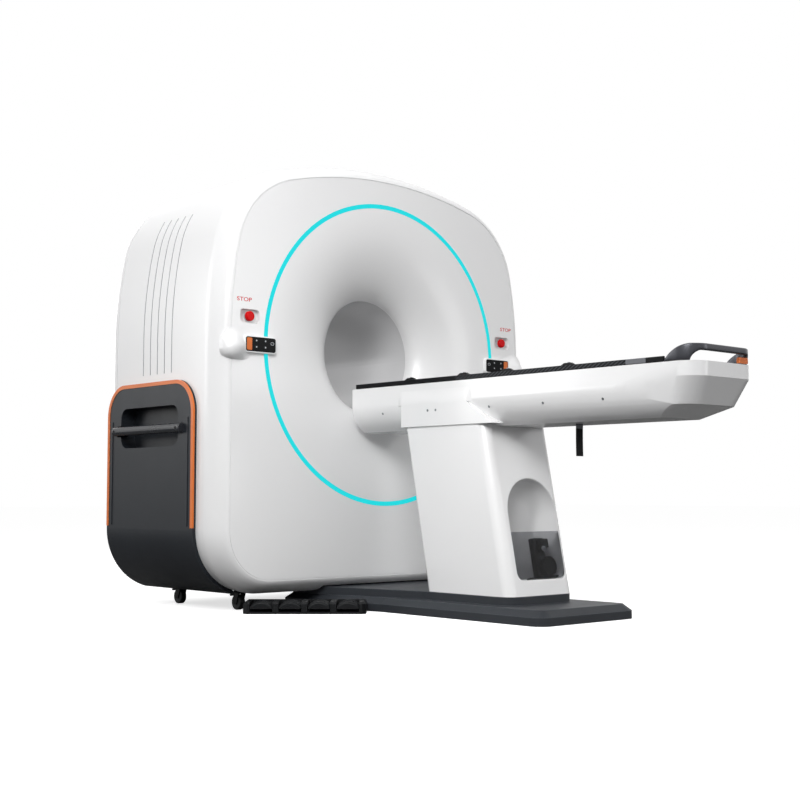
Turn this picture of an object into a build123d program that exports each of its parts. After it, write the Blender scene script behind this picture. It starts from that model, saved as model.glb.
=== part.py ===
"""Compact CT scanner: a ring-shaped gantry on casters with a sliding patient table.

Millimetres, +Z up. The origin lies on the floor under the middle of the gantry's front face.
+Y runs along the bore axis into the gantry, and the table reaches out along -Y.
"""
import os
from math import acos, atan2, cos, hypot, pi, radians, sin, sqrt

from build123d import *

os.makedirs("parts", exist_ok=True)

# Clearances
SEAT = 0.3  # between pieces that seat on each other or pass close by
RUNNING = 0.05  # radial, between a shaft and its bore
SEAM = 3.0  # width of the open line between two covers
FAR = 3000.0  # past the end of every piece, for cuts

ELLIPSE = 0.5523  # control arm of a cubic curve that draws a quarter ellipse

# Gantry envelope: an arch of tangent arcs
bore_height = 965.0
half_width = 782.0
arch_top = 1694.0
arch_bottom = 62.0
crown_radius = 1850.0
shoulder_radius = 370.0
flank_radius = 1700.0
flank_start = 1000.0
foot_radius = 230.0
gantry_depth = 750.0

# Covers
cover_wall = 5.0
front_depth = 100.0
bezel_inset = 48.0
bezel_depth = 88.0
bezel_power = 1.6
bezel_stations = 6
crease_inset = 50.0
crease_width = 4.0
crease_depth = 2.5
body_inset = 4.0
wrap_end = gantry_depth - 50.0
lip_length = 14.0
lip_root = 20.0
rear_round = 40.0
notch_half_width = 290.0
notch_top = 83.0
groove_count = 5
groove_pitch = 49.0
groove_first = 312.0
groove_width = 6.0
groove_depth = 3.0
groove_low = 868.0
groove_high = 1470.0
belly_open = 615.0
belly_cut = 200.0
vent_count = 9
vent_pitch = 20.0
vent_low = 250.0
vent_x = 410.0
vent_length = 200.0
vent_width = 8.0
inlet_height = 150.0
inlet_width = 90.0
inlet_rise = 60.0
inlet_depth = 12.0
inlet_rim = 5.0
inlet_corner = 6.0

# Bore, funnel and light ring
bore_radius = 223.0
liner_wall = 4.0
funnel_mouth = 566.0
funnel_depth = 125.0
funnel_collar = 10.0
rear_mouth = 400.0
rear_funnel_depth = 70.0
ring_radius = 580.0
ring_width = 17.0
ring_groove = 3.0
ring_proud = 0.6

# Dark side panel with its trim and carrying handle
panel_proud = 10.0
panel_front = 141.0
panel_back = gantry_depth - 10.0
panel_top = 838.0
panel_corner = 120.0
panel_sink = 26.0
trim_width = 14.0
trim_end = 301.0
trim_depth = 6.0
trim_proud = 2.0
rib_inset = 36.0
rib_width = 5.0
rib_height = 3.0
rib_low = 306.0
rib_high = 700.0
recess_front = panel_front + 100.0
recess_back = panel_back - 98.0
recess_corner = 40.0
recess_depth = 60.0
tray_wall = 4.0
handle_height = 661.0
recess_low = handle_height - 65.0
recess_high = handle_height + 86.0
handle_front = panel_front + 63.0
handle_back = panel_back - 67.0
handle_section = 34.0
handle_round = 14.0
handle_proud = 25.0
handle_foot = 30.0
handle_slot_depth = 30.0
handle_slot_room = 4.0
handle_slot_corner = 8.0
handle_end_round = 4.0
handle_foot_inset = 4.0

# Stop buttons and control pods
stop_x = 650.0
stop_height = 1058.0
stop_cup_width = 84.0
stop_cup_height = 50.0
stop_cup_corner = 14.0
stop_cup_depth = 18.0
stop_cup_wall = 5.0
stop_head_radius = 18.0
stop_head_proud = 6.0
stop_head_thick = 13.0
stop_head_round = 5.0
stop_stem_radius = 6.0
stop_stem_length = 44.0
pod_x = 610.0
panel_plate_width = 131.0
panel_plate_height = 52.0
panel_plate_corner = 8.0
panel_plate_thick = 7.0
pod_rim = 5.0
pod_proud = 13.0
pod_drop = 8.0
pod_round = 3.0
panel_proud_of_pod = 1.0
panel_edge_round = 1.2
panel_floor = 1.2
blister_shift = 66.0
blister_reach = 84.0
blister_bulge = 44.0
blister_height = 46.0
blister_drop = 22.0
key_width = 22.0
key_margin = 4.0
key_proud = 1.5
key_room = 2.0

# Frame
beam_low = 90.0
beam_height = 60.0
beam_width = 70.0
beam_reach = 620.0
rail_x = 450.0
socket_half = 40.0
pad_x = 200.0
pad_half = 50.0
frame_front = 130.0
frame_back = gantry_depth - 60.0
stator_front = gantry_depth - 280.0
stator_thick = 20.0
stator_foot = 560.0
stator_gusset = 180.0
gusset_x = 500.0
gusset_thick = 12.0
gusset_height = 420.0
race_flange = 20.0
race_end = 10.0

# Power supply and cooling fans
power_x = 440.0
power_width = 220.0
power_height = 170.0
power_round = 10.0
fan_height = vent_low + 4 * vent_pitch
fan_size = 170.0
fan_depth = 40.0
fan_corner = 10.0
fan_throat = 76.0
fan_hub = 28.0
fan_arm = 8.0

# Casters
caster_x = 570.0
caster_front = 152.0
caster_back = gantry_depth - 208.0
caster_trail = 18.0
wheel_radius = 28.0
wheel_width = 24.0
axle_radius = 4.0
fork_gap = 0.6
fork_arm = 4.0
fork_crown_radius = 24.0
fork_crown_thick = 5.0
kingpin_radius = 7.0
kingpin_length = 20.0
brake_reach = 52.0
brake_drop = 14.0
brake_fall = 16.0
fork_front = 14.0
fork_back = 20.0
fork_eye = 8.0
wheel_clear = 2.0
tyre_round = 4.0

# Rotor
race_outer_radius = 400.0
race_gap_radius = 345.0
race_inner_radius = 300.0
disc_radius = 650.0
disc_bore = 250.0
disc_front = stator_front - 85.0
disc_thick = 20.0
hub_wall = 12.0
hub_length = 60.0
disc_hole_ring = 600.0
disc_hole_radius = 16.0
rim_thick = 20.0
rim_depth = 90.0
rim_flange = 6.0
rim_flange_width = 5.0
belt_front = disc_front - 50.0
belt_width = 28.0
belt_thick = 5.0
belt_side_gap = 1.0
tube_radius = 76.0
tube_offset = 470.0
tube_length = 200.0
tube_round = 14.0
collimator_half = 70.0
collimator_drop = 46.0
cabinet_near = 330.0
cabinet_far = 560.0
cabinet_depth = 170.0
cabinet_half = 150.0
cabinet_round = 18.0
detector_half_angle = 24.0
detector_focus = 910.0
detector_thick = 60.0
detector_front = disc_front - 85.0
slip_radius = 318.0
slip_inner = 262.0
track_count = 3
track_first = 12.0
track_pitch = 16.0
track_width = 6.0
track_depth = 3.0
brush_half = 40.0
brush_height = 40.0
brush_arm = 100.0
brush_foot = 12.0
slip_length = 60.0
pulley_radius = 60.0
pulley_distance = 740.0
pulley_angle = -50.0
pulley_shaft = 12.0
pulley_flange = 9.0
shaft_end = 40.0
motor_radius = 62.0

# Floor plate and its plinth
plate_half_width = 245.0
plate_rear_half = 300.0
plate_front = -1021.0
plate_rear = 245.0
plate_taper_front = -250.0
plate_taper_rear = 60.0
plate_corner = 50.0
plate_edge = 28.0
plate_top = 50.0
plate_slope = 24.0
plinth_top = 78.0
plinth_margin = 14.0
plinth_rear_half = 284.0

# Pedestal
lean = 0.2012  # rise of Y for each mm of Z
pedestal_half = 163.0
pedestal_front = -808.0
pedestal_depth = 403.0
pedestal_corner = 72.0
pedestal_wall = 5.0
pocket_x = 16.0
pocket_width = 247.0
pocket_low = 131.0
pocket_high = 475.0
pocket_corner = 30.0
pocket_depth = 128.0
pocket_wall = 3.0
pocket_flange = 9.0
window_height = 163.0
window_thick = 4.0
window_recess = 5.0
pendant_x = 72.0
pendant_depth = 66.0
pendant_width = 54.0
pendant_height = 142.0
pendant_thick = 30.0
pendant_round = 9.0
pendant_head = 30.0
cradle_width = 90.0
cradle_rise = 12.0
cradle_depth = 70.0
coil_radius = 34.0
knob_radius = 8.0
column_width = 150.0
column_depth = 130.0
column_wall = 8.0
column_corner = 24.0
column_back_shift = 95.0
column_inner_low = 185.0
head_plate_thick = 6.0
head_plate_half = 190.0
deck_foot = 20.0
lift_motor_radius = 30.0
lift_motor_gap = 12.0
lift_motor_height = 150.0

# Table hull
hull_half = 163.0
hull_end = 9.0
hull_far = -1562.0
hull_top = 819.0
pedestal_top = hull_top - 129.0
column_outer_top = hull_top - 259.0
head_plate_z = hull_top - 33.0
hull_wall = 5.0
bilge_top = hull_top - 57.0
bilge_half = 148.0
bilge_z = hull_top - 119.0
belly_half = 98.0
belly_z = hull_top - 163.0
nose_start = hull_far + 372.0
nose_round = 70.0
nose_band = hull_top - 45.0
nose_spare = 0.4
nose_crease_z = hull_top - 127.0
nose_crease_half = 145.0
nose_crease_start = hull_far + 116.0
nose_crease_end = hull_far + 40.0
nose_belly_half = 112.0
nose_belly_start = hull_far + 232.0
nose_belly_end = hull_far + 176.0
nose_belly_z = hull_top - 169.0
boss_half = 169.0
boss_rear = -275.0
boss_front_low = -735.0
boss_front_high = -609.0
boss_low = hull_top - 155.0
boss_high = hull_top - 74.0
boss_gap = 1.0
throat_top = hull_top - 97.0
deck_top = hull_top - 10.0
deck_thick = 4.0
deck_gap = 0.3
guide_x = 100.0
guide_width = 14.0
guide_height = 7.0
strap_y = -978.0
strap_width = 40.0
strap_thick = 2.5
strap_length = 107.7

# Tabletop
board_half = 150.0
board_near = -10.0
board_far = hull_far + 114.0
board_thick = 13.0
board_gap = 0.6
board_corner = 18.0
board_round = 5.0
rail_near = -12.0
rail_far = hull_far + 116.0
rail_gap = 3.0
rail_low = hull_top + 1.0
rail_round = 2.0
stud_count = 5
stud_radius = 4.0
stud_inset = 40.0
stud_rise = 6.0
side_rail_width = 10.0
side_rail_height = 17.0
clip_ys = (-316.0, -590.0, -798.0, -1068.0)
clip_length = 56.0
clip_rise = 7.0
clip_slope = 14.0
carriage_length = 320.0
carriage_half = 130.0
carriage_end_gap = 8.0
loop_half = hull_half
loop_far = hull_far
loop_thick = 26.0
loop_low = rail_low
loop_root = hull_far + 112.0
loop_shoulder_y = hull_far + 65.0
loop_shoulder_z = loop_low + 40.0
loop_end_z = loop_low + 41.0
loop_crown = loop_end_z + 12.0
loop_shoulder_run = 16.0
loop_open_half = 128.0
loop_open_top = loop_low + 24.0
loop_open_height = 64.0
loop_open_round = 9.0
loop_foot = 20.0
loop_foot_thick = 10.0
lever_x0 = 78.0
lever_x1 = loop_open_half - 6.0
lever_low = loop_low + 3.0
lever_axis_z = loop_low + 16.0
lever_shoulder = 4.0
lever_round = 6.0
lever_pin = 3.0
lever_end_gap = 0.5

# Foot switch
foot_length = 435.0
foot_depth = 130.0
foot_height = 43.0
foot_turn = -42.0
foot_dock_y = -187.0
pedal_count = 4
pedal_width = 75.0
foot_floor = 7.0
foot_shaft_radius = 3.0
foot_shaft_height = 22.0
foot_shaft_back = 112.0
pedal_low = 18.0
pedal_gap = 3.0
pedal_arch = 14.0
pedal_round = 8.0
foot_wall = 10.0
foot_corner = 14.0
foot_bevel = 8.0

parts = {}


def add(name, *shapes):
    """Keep one node: a single solid, or a group of separate solids."""
    solids = [s for shape in shapes for s in shape.solids()]
    parts[name] = solids[0] if len(solids) == 1 else Compound(children=solids)


def upright(y):
    """The X-Z plane at depth y, facing the front."""
    return Plane(origin=(0, y, 0), x_dir=(1, 0, 0), z_dir=(0, -1, 0))


def slab(face, front, back):
    """A face drawn in X-Z, filled from depth front to depth back."""
    return extrude(upright(back) * face, amount=back - front)


def block(x0, x1, y0, y1, z0, z1):
    """A box between two corners."""
    size = (x1 - x0, y1 - y0, z1 - z0)
    return Pos((x0 + x1) / 2, (y0 + y1) / 2, (z0 + z1) / 2) * Box(*size)


def rod(radius, start, end):
    """A round bar between two points along one axis."""
    a, b = Vector(*start), Vector(*end)
    plane = Plane(origin=a, z_dir=(b - a).normalized())
    return extrude(plane * Circle(radius), amount=(b - a).length)


def tube(outer, inner, front, back, height=bore_height, x=0.0):
    """A ring about an axis parallel to the bore."""
    ring = Pos(x, height) * (Circle(outer) - Circle(inner))
    return slab(ring, front, back)


def side_slab(face, x0, x1):
    """A face drawn in Y-Z, filled from x0 to x1."""
    plane = Plane(origin=(x0, 0, 0), x_dir=(0, 1, 0), z_dir=(1, 0, 0))
    return extrude(plane * face, amount=x1 - x0)


def polygon(*points):
    """A flat face through the points in order."""
    return make_face(Polyline(*points, close=True))


def both_sides(shape):
    """The shape and its mirror image across the middle plane."""
    return [shape, mirror(shape, about=Plane.YZ)]


def arch(offset=0.0):
    """The gantry's outline, moved outward by offset, as tangent arcs about fixed centres."""
    side = half_width + offset
    low = arch_bottom - offset
    crown = (0.0, arch_top - crown_radius)
    flank = (half_width - flank_radius, flank_start)
    foot = (half_width - foot_radius, arch_bottom + foot_radius)
    a = crown_radius - shoulder_radius
    b = flank_radius - shoulder_radius
    span = hypot(flank[0] - crown[0], flank[1] - crown[1])
    along = (a * a - b * b + span * span) / (2 * span)
    rise = sqrt(a * a - along * along)
    ux, uz = (flank[0] - crown[0]) / span, (flank[1] - crown[1]) / span
    shoulder = (crown[0] + along * ux + rise * uz, crown[1] + along * uz - rise * ux)
    low_turn = atan2(shoulder[1] - flank[1], shoulder[0] - flank[0])
    high_turn = atan2(shoulder[1] - crown[1], shoulder[0] - crown[0])

    def on(centre, radius, angle):
        return centre[0] + radius * cos(angle), centre[1] + radius * sin(angle)

    r_foot, r_flank = foot_radius + offset, flank_radius + offset
    r_shoulder, r_crown = shoulder_radius + offset, crown_radius + offset
    right = [
        Line((0, low), (foot[0], low)),
        ThreePointArc((foot[0], low), on(foot, r_foot, -pi / 4), (side, foot[1])),
        Line((side, foot[1]), (side, flank_start)),
        ThreePointArc((side, flank_start), on(flank, r_flank, low_turn / 2), on(flank, r_flank, low_turn)),
        ThreePointArc(
            on(flank, r_flank, low_turn),
            on(shoulder, r_shoulder, (low_turn + high_turn) / 2),
            on(crown, r_crown, high_turn),
        ),
        ThreePointArc(
            on(crown, r_crown, high_turn),
            on(crown, r_crown, (high_turn + pi / 2) / 2),
            on(crown, r_crown, pi / 2),
        ),
    ]
    left = [mirror(edge, about=Plane.YZ) for edge in right]
    return make_face(right + left)


def arch_band(outer, inner, front, back):
    """A wall that follows the gantry's outline between two offsets."""
    return slab(arch(outer), front, back) - slab(arch(inner), front, back)


def front_blank(inset):
    """The front cover as a full solid: its rim rolls back to the bezel along a flattened ellipse."""
    sections = []
    for n in range(bezel_stations + 1):
        turn = pi / 2 * n / bezel_stations
        shrink = bezel_inset * (1 - sin(turn) ** (2 / bezel_power))
        depth = bezel_depth * (1 - cos(turn) ** (2 / bezel_power))
        sections.append(upright(inset + depth) * arch(-inset - shrink))
    blank = loft(sections)
    blank += slab(arch(-inset), inset + bezel_depth, front_depth + (lip_length if inset else 0))
    wide = notch_half_width + inset
    return blank - block(-wide, wide, -1, FAR, 0, notch_top + inset)


def bell(mouth, depth, wall, collar):
    """A funnel from its mouth down to the bore, as an elliptical quarter turned about the bore axis."""
    k = ELLIPSE
    reach = mouth - bore_radius
    back = mouth - bore_radius - wall
    front = Bezier((mouth, 0), (mouth - reach * k, 0), (bore_radius, depth * (1 - k)), (bore_radius, depth))
    rear = Bezier(
        (bore_radius + wall, depth),
        (bore_radius + wall, depth - (depth - wall) * k),
        (mouth - back * k, wall),
        (mouth, wall),
    )
    profile = make_face(
        [
            front,
            Line((bore_radius, depth), (bore_radius, depth + collar)),
            Line((bore_radius, depth + collar), (bore_radius + wall, depth + collar)),
            Line((bore_radius + wall, depth + collar), (bore_radius + wall, depth)),
            rear,
            Line((mouth, wall), (mouth, 0)),
        ]
    )
    plane = Plane(origin=(0, 0, bore_height), x_dir=(1, 0, 0), z_dir=(0, 0, 1))
    return revolve(plane * profile, axis=Axis((0, 0, bore_height), (0, 1, 0)), revolution_arc=360)


def front_cover():
    """Moulded front shell: bezel, face, funnel, ring groove, stop cups and the notch over the plinth."""
    cover = front_blank(0) - front_blank(cover_wall)
    inner = -body_inset - 2 * cover_wall
    start, end = front_depth - lip_root, front_depth + lip_length
    lip = arch_band(-body_inset - cover_wall - SEAT, inner, start, end)
    bridge = arch_band(-cover_wall + 1, inner, start, front_depth)
    gap_half = notch_half_width + cover_wall
    cover += (lip + bridge) - block(-gap_half, gap_half, 0, FAR, 0, notch_top + cover_wall)
    for x in (-stop_x, stop_x):
        wide, high = stop_cup_width + 2 * stop_cup_wall, stop_cup_height + 2 * stop_cup_wall
        cup = Pos(x, stop_height) * RectangleRounded(wide, high, stop_cup_corner + stop_cup_wall)
        cover += slab(cup, 1, stop_cup_depth + stop_cup_wall)
        hollow = Pos(x, stop_height) * RectangleRounded(stop_cup_width, stop_cup_height, stop_cup_corner)
        cover -= slab(hollow, -1, stop_cup_depth)
        cover -= rod(stop_stem_radius + SEAT, (x, 0, stop_height), (x, 2 * stop_cup_depth, stop_height))
    crease = slab(arch(-crease_inset), -1, crease_depth)
    cover -= crease - slab(arch(-crease_inset - crease_width), -1, crease_depth)
    cover -= slab(Pos(0, bore_height) * Circle(funnel_mouth - 1), -1, cover_wall + 1)
    cover += bell(funnel_mouth, funnel_depth, cover_wall, funnel_collar)
    half = ring_width / 2 + SEAT
    cover -= tube(ring_radius + half, ring_radius - half, -1, ring_groove)
    return cover


def light_ring():
    """Diffuser band flush with the front face."""
    half = ring_width / 2
    band = tube(ring_radius + half, ring_radius - half, -ring_proud, ring_groove - SEAT)
    return fillet([e for e in band.edges() if abs(e.center().Y + ring_proud) < 0.01], 0.4)


def body_solid(grow=0.0):
    """The closed envelope behind the front cover, rounded at the rear."""
    solid = slab(arch(grow - body_inset), front_depth + SEAM, gantry_depth + grow)
    edges = solid.faces().sort_by(Axis.Y)[-1].edges()
    return fillet(edges, rear_round + grow)


def wrap_cover():
    """Arch-shaped body cover, open below, with fluted flanks and a window behind each handle tray."""
    wrap = arch_band(-body_inset, -body_inset - cover_wall, front_depth + SEAM, wrap_end)
    wrap -= block(-belly_open, belly_open, 0, gantry_depth, 0, belly_cut)
    groove = arch_band(0, -body_inset - groove_depth, 0, groove_width)
    groove = groove & block(-half_width, half_width, 0, groove_width, groove_low, groove_high)
    for n in range(groove_count):
        wrap -= Pos(0, groove_first + n * groove_pitch - groove_width / 2, 0) * groove
    margin = 3 * tray_wall
    for side in (-1, 1):
        x0, x1 = sorted((side * (half_width + margin), side * (half_width - recess_depth - 3 * margin)))
        y0, y1 = recess_front - margin, recess_back + margin
        wrap -= block(x0, x1, y0, y1, recess_low - margin, recess_high + margin)
        y0, y1 = handle_front - margin, handle_back + margin
        reach = handle_section / 2 + 2 * margin
        wrap -= block(x0, x1, y0, y1, handle_height - reach, handle_height + reach)
    return wrap


def rear_cover():
    """Moulded rear shell with its own funnel, vents and cable inlet recess."""
    outer = body_solid() & block(-FAR, FAR, wrap_end + SEAM, FAR, 0, FAR)
    core = slab(arch(-body_inset - cover_wall), wrap_end, gantry_depth - cover_wall)
    core = fillet(core.faces().sort_by(Axis.Y)[-1].edges(), rear_round - cover_wall)
    cover = outer - core
    inner, end = -body_inset - 2 * cover_wall, wrap_end + lip_root
    lip = arch_band(-body_inset - cover_wall - SEAT, inner, wrap_end - lip_length, end)
    bridge = arch_band(-body_inset - 1, inner, wrap_end + SEAM, end)
    cover += (lip - block(-belly_open, belly_open, 0, gantry_depth, 0, belly_cut)) + bridge
    skin = gantry_depth - 2 * cover_wall
    cover -= slab(Pos(0, bore_height) * Circle(rear_mouth - 1), skin, gantry_depth + 1)
    funnel = bell(rear_mouth, rear_funnel_depth, cover_wall, funnel_collar)
    funnel = Pos(0, gantry_depth, 0) * mirror(funnel, about=Plane.XZ)
    cover += funnel
    for side in (-1, 1):
        for n in range(vent_count):
            slot = Pos(side * vent_x, vent_low + n * vent_pitch) * SlotOverall(vent_length, vent_width)
            cover -= slab(slot, skin, gantry_depth + 1)
    inlet = Pos(0, inlet_height) * RectangleRounded(inlet_width, inlet_rise, inlet_corner)
    wide, high = inlet_width + 2 * inlet_rim, inlet_rise + 2 * inlet_rim
    socket = Pos(0, inlet_height) * RectangleRounded(wide, high, inlet_corner + inlet_rim)
    cover += slab(socket, skin - inlet_depth, gantry_depth - cover_wall)
    cover -= slab(inlet, skin, gantry_depth + 1)
    return cover


def panel_shape(inset):
    """The side panel's outline in Y-Z: round at the two top corners and square where it turns under."""
    front, back, top = panel_front + inset, panel_back - inset, panel_top - inset
    radius = panel_corner - inset
    s = radius * (1 - cos(pi / 4))
    return make_face(
        [
            Line((front, 0), (front, top - radius)),
            ThreePointArc((front, top - radius), (front + s, top - s), (front + radius, top)),
            Line((front + radius, top), (back - radius, top)),
            ThreePointArc((back - radius, top), (back - s, top - s), (back, top - radius)),
            Line((back, top - radius), (back, 0)),
            Line((back, 0), (front, 0)),
        ]
    )


def left_panel():
    """Dark left side panel that wraps the lower corner, with trim rebate, ribs and handle tray."""
    outer_x = -half_width - panel_proud
    blank = arch_band(panel_proud, -panel_sink, panel_front, panel_back)
    blank &= side_slab(panel_shape(0), -FAR, -belly_open)
    blank -= body_solid(SEAT)
    spare = 5
    ledge = arch_band(3 * panel_proud, panel_proud - trim_depth, panel_front - spare, panel_back + spare)
    ledge &= side_slab(panel_shape(-spare), -FAR, -belly_open)
    ledge -= side_slab(panel_shape(trim_width + SEAT), -FAR, -belly_open)
    blank -= ledge & block(-FAR, 0, 0, FAR, trim_end - SEAT, FAR)
    middle = Pos((recess_front + recess_back) / 2, (recess_low + recess_high) / 2)
    long, high = recess_back - recess_front, recess_high - recess_low
    tray = middle * RectangleRounded(long + 2 * tray_wall, high + 2 * tray_wall, recess_corner + tray_wall)
    hollow = middle * RectangleRounded(long, high, recess_corner)
    slot_length = handle_back - handle_front + 2 * SEAT
    slot_high = handle_section + 2 * handle_slot_room
    corner = handle_slot_corner
    middle = Pos((handle_front + handle_back) / 2, handle_height)
    slot = middle * RectangleRounded(slot_length, slot_high, corner)
    long, high = slot_length + 2 * tray_wall, slot_high + 2 * tray_wall
    slot_back = middle * RectangleRounded(long, high, corner + tray_wall)
    floor = outer_x + recess_depth
    slot_floor = outer_x + handle_slot_depth
    blank += side_slab(tray, outer_x + 1, floor + tray_wall)
    blank += side_slab(slot_back, outer_x + 1, slot_floor + tray_wall)
    blank -= side_slab(hollow, outer_x - 5, floor)
    blank -= side_slab(slot, outer_x - 5, slot_floor)
    for y in (panel_front + rib_inset, panel_back - rib_inset):
        rib = Pos(y, (rib_low + rib_high) / 2) * SlotOverall(rib_high - rib_low, rib_width, rotation=90)
        blank += side_slab(rib, outer_x - rib_height, outer_x + 1)
    return blank


def left_trim():
    """Orange edging that runs up both sides of the dark panel and over its top."""
    strip = arch_band(panel_proud + trim_proud, panel_proud - trim_depth + SEAT, panel_front, panel_back)
    strip &= side_slab(panel_shape(0), -FAR, -belly_open)
    strip -= side_slab(panel_shape(trim_width), -FAR, -belly_open)
    return strip & block(-FAR, 0, 0, FAR, trim_end, FAR)


def left_handle():
    """Carrying handle: a rounded grip bar with a foot at each end."""
    outer_x = -half_width - panel_proud
    x0 = outer_x - handle_proud
    half = handle_section / 2
    bar = block(x0, x0 + handle_section, handle_front, handle_back, handle_height - half, handle_height + half)
    bar = fillet(bar.edges().filter_by(Axis.Y), handle_round)
    bar = fillet(bar.faces().filter_by(Axis.Y).edges(), handle_end_round)
    seat = outer_x + handle_slot_depth - SEAT
    inset = handle_foot_inset
    low, high = handle_height - half + inset, handle_height + half - inset
    root = x0 + handle_section / 2
    bar += block(root, seat, handle_front + inset, handle_front + handle_foot, low, high)
    bar += block(root, seat, handle_back - handle_foot, handle_back - inset, low, high)
    return bar


def left_pod():
    """White pod on the front face that carries the left control panel."""
    x = -pod_x
    z = bore_height - pod_drop
    width, height = panel_plate_width + 2 * pod_rim, panel_plate_height + 2 * pod_rim
    plate = slab(Pos(x, z) * RectangleRounded(width, height, panel_plate_corner + pod_rim), -pod_proud, 0)
    plate = fillet([e for e in plate.edges() if abs(e.center().Y + pod_proud) < 0.01], pod_round)
    blister = scale(Sphere(1), by=(blister_reach, blister_bulge, blister_height))
    blister = Pos(x - blister_shift, 0, bore_height - blister_drop) * blister
    blister &= block(-FAR, 0, -FAR, 0, 0, FAR)
    pod = plate + blister
    room = Pos(x, z) * RectangleRounded(
        panel_plate_width + 2 * SEAT, panel_plate_height + 2 * SEAT, panel_plate_corner + SEAT
    )
    pod -= slab(room, -FAR, panel_plate_thick - pod_proud - panel_proud_of_pod)
    half = ring_width / 2 + SEAT
    return pod - tube(ring_radius + half, ring_radius - half, -ring_proud - SEAT, 1)


def key_centre():
    """X of the left move key, at the outer end of its panel."""
    return -pod_x - panel_plate_width / 2 + key_margin + key_width / 2


def key_outline(grow):
    """Outline of the move key in X-Z."""
    high = panel_plate_height - 2 * key_margin
    wide = key_width + 2 * grow
    outline = RectangleRounded(wide, high + 2 * grow, key_margin + grow)
    return Pos(key_centre(), bore_height - pod_drop) * outline


def left_panel_plate():
    """Black control panel with a window for its move key."""
    front = -pod_proud - panel_proud_of_pod
    plate = Pos(-pod_x, bore_height - pod_drop) * RectangleRounded(
        panel_plate_width, panel_plate_height, panel_plate_corner
    )
    solid = slab(plate, front, front + panel_plate_thick - SEAT)
    solid = fillet([e for e in solid.edges() if abs(e.center().Y - front) < 0.01], panel_edge_round)
    return solid - slab(key_outline(SEAT), front - 1, front + panel_plate_thick - panel_floor)


def left_key():
    """Orange move key that presses into its panel."""
    front = -pod_proud - panel_proud_of_pod - key_proud
    back = front + key_proud + panel_plate_thick - panel_floor - key_room
    key = slab(key_outline(0), front, back)
    return fillet([e for e in key.edges() if abs(e.center().Y - front) < 0.01], panel_edge_round)


def left_stop():
    """Red stop button: mushroom head on a stem."""
    x = -stop_x
    front = -stop_head_proud
    head = rod(stop_head_radius, (x, front, stop_height), (x, front + stop_head_thick, stop_height))
    head = fillet([e for e in head.edges() if abs(e.center().Y - front) < 0.01], stop_head_round)
    return head + rod(stop_stem_radius, (x, front + 1, stop_height), (x, front + stop_stem_length, stop_height))


def base_frame():
    """Welded steel base: cross beams, long rails, pads on the plinth and the caster sockets."""
    top = beam_low + beam_height
    half = beam_width / 2
    frame = None
    for y in (caster_front + half - 10, stator_front + stator_thick / 2, caster_back + beam_height):
        beam = block(-beam_reach, beam_reach, y - half, y + half, beam_low, top)
        frame = beam if frame is None else frame + beam
    for x in (-rail_x, rail_x):
        frame += block(x - half, x + half, frame_front, frame_back, beam_low, top)
    for x in (-caster_x, caster_x):
        for y in (caster_front, caster_back):
            x0, x1 = x - socket_half, x + socket_half
            frame += block(x0, x1, y - socket_half, y + socket_half, beam_low, top)
    for x in (-pad_x, pad_x):
        y0, y1 = caster_front, caster_front + pad_half
        frame += block(x - pad_half, x + pad_half, y0, y1, plinth_top, beam_low + 5)
    for x in (-caster_x, caster_x):
        for y in (caster_front, caster_back):
            frame -= rod(kingpin_radius + RUNNING, (x, y, 0), (x, y, beam_low + kingpin_length + 2))
    return frame


def stator_frame():
    """Fixed gantry plate that carries the main bearing, with its foot and gussets."""
    back = stator_front + stator_thick
    top = beam_low + beam_height
    plate = slab(arch(-body_inset - cover_wall - SEAT), stator_front, back)
    plate -= block(-FAR, FAR, 0, FAR, 0, top)
    plate -= slab(Pos(0, bore_height) * Circle(race_outer_radius + SEAT), stator_front - 1, back + 1)
    tray_back = half_width + panel_proud - recess_depth - tray_wall - SEAM
    low, high = recess_low - tray_wall - SEAM, recess_high + tray_wall + SEAM
    for side in (-1, 1):
        x0, x1 = sorted((side * tray_back, side * half_width))
        plate -= block(x0, x1, stator_front - 1, back + 1, low, high)
    for x in (-gusset_x, gusset_x):
        rib = polygon((back - 1, top), (back + stator_gusset, top), (back - 1, top + gusset_height))
        plate += side_slab(rib, x - gusset_thick / 2, x + gusset_thick / 2)
    plate += block(-stator_foot, stator_foot, back - 1, back + 40, top, top + gusset_thick)
    return plate


def bearing_outer_race():
    """Outer race of the main bearing with its bolting flange behind the stator plate."""
    back = stator_front + stator_thick
    ring = tube(race_outer_radius, race_gap_radius, stator_front - 3 * race_end, back + race_end)
    return ring + tube(race_outer_radius + race_flange, race_gap_radius, back + SEAT, back + race_end)


def bearing_inner_race():
    """Inner race of the main bearing, bolted to the rotor disc."""
    back = stator_front + stator_thick + race_end
    return tube(race_gap_radius - SEAT, race_inner_radius, disc_front + disc_thick, back)


def rotor_drum():
    """Rotor disc with its hub ring and the flanged rim that the drive belt runs on."""
    back = disc_front + disc_thick
    drum = tube(disc_radius, disc_bore, disc_front, back)
    drum += tube(disc_radius, disc_radius - rim_thick, back - rim_depth, back)
    drum += tube(disc_bore + hub_wall, disc_bore, disc_front - hub_length, disc_front)
    edge = belt_front - belt_side_gap
    far = belt_front + belt_width + belt_side_gap
    drum += tube(disc_radius + rim_flange, disc_radius - 5, edge - rim_flange_width, edge)
    drum += tube(disc_radius + rim_flange, disc_radius - 5, far, far + rim_flange_width)
    for angle in range(0, 360, 45):
        hole = Pos(0, bore_height) * Rot(0, 0, angle + 22.5) * Pos(disc_hole_ring, 0) * Circle(disc_hole_radius)
        drum -= slab(hole, disc_front - 1, back + 1)
    return drum


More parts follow.
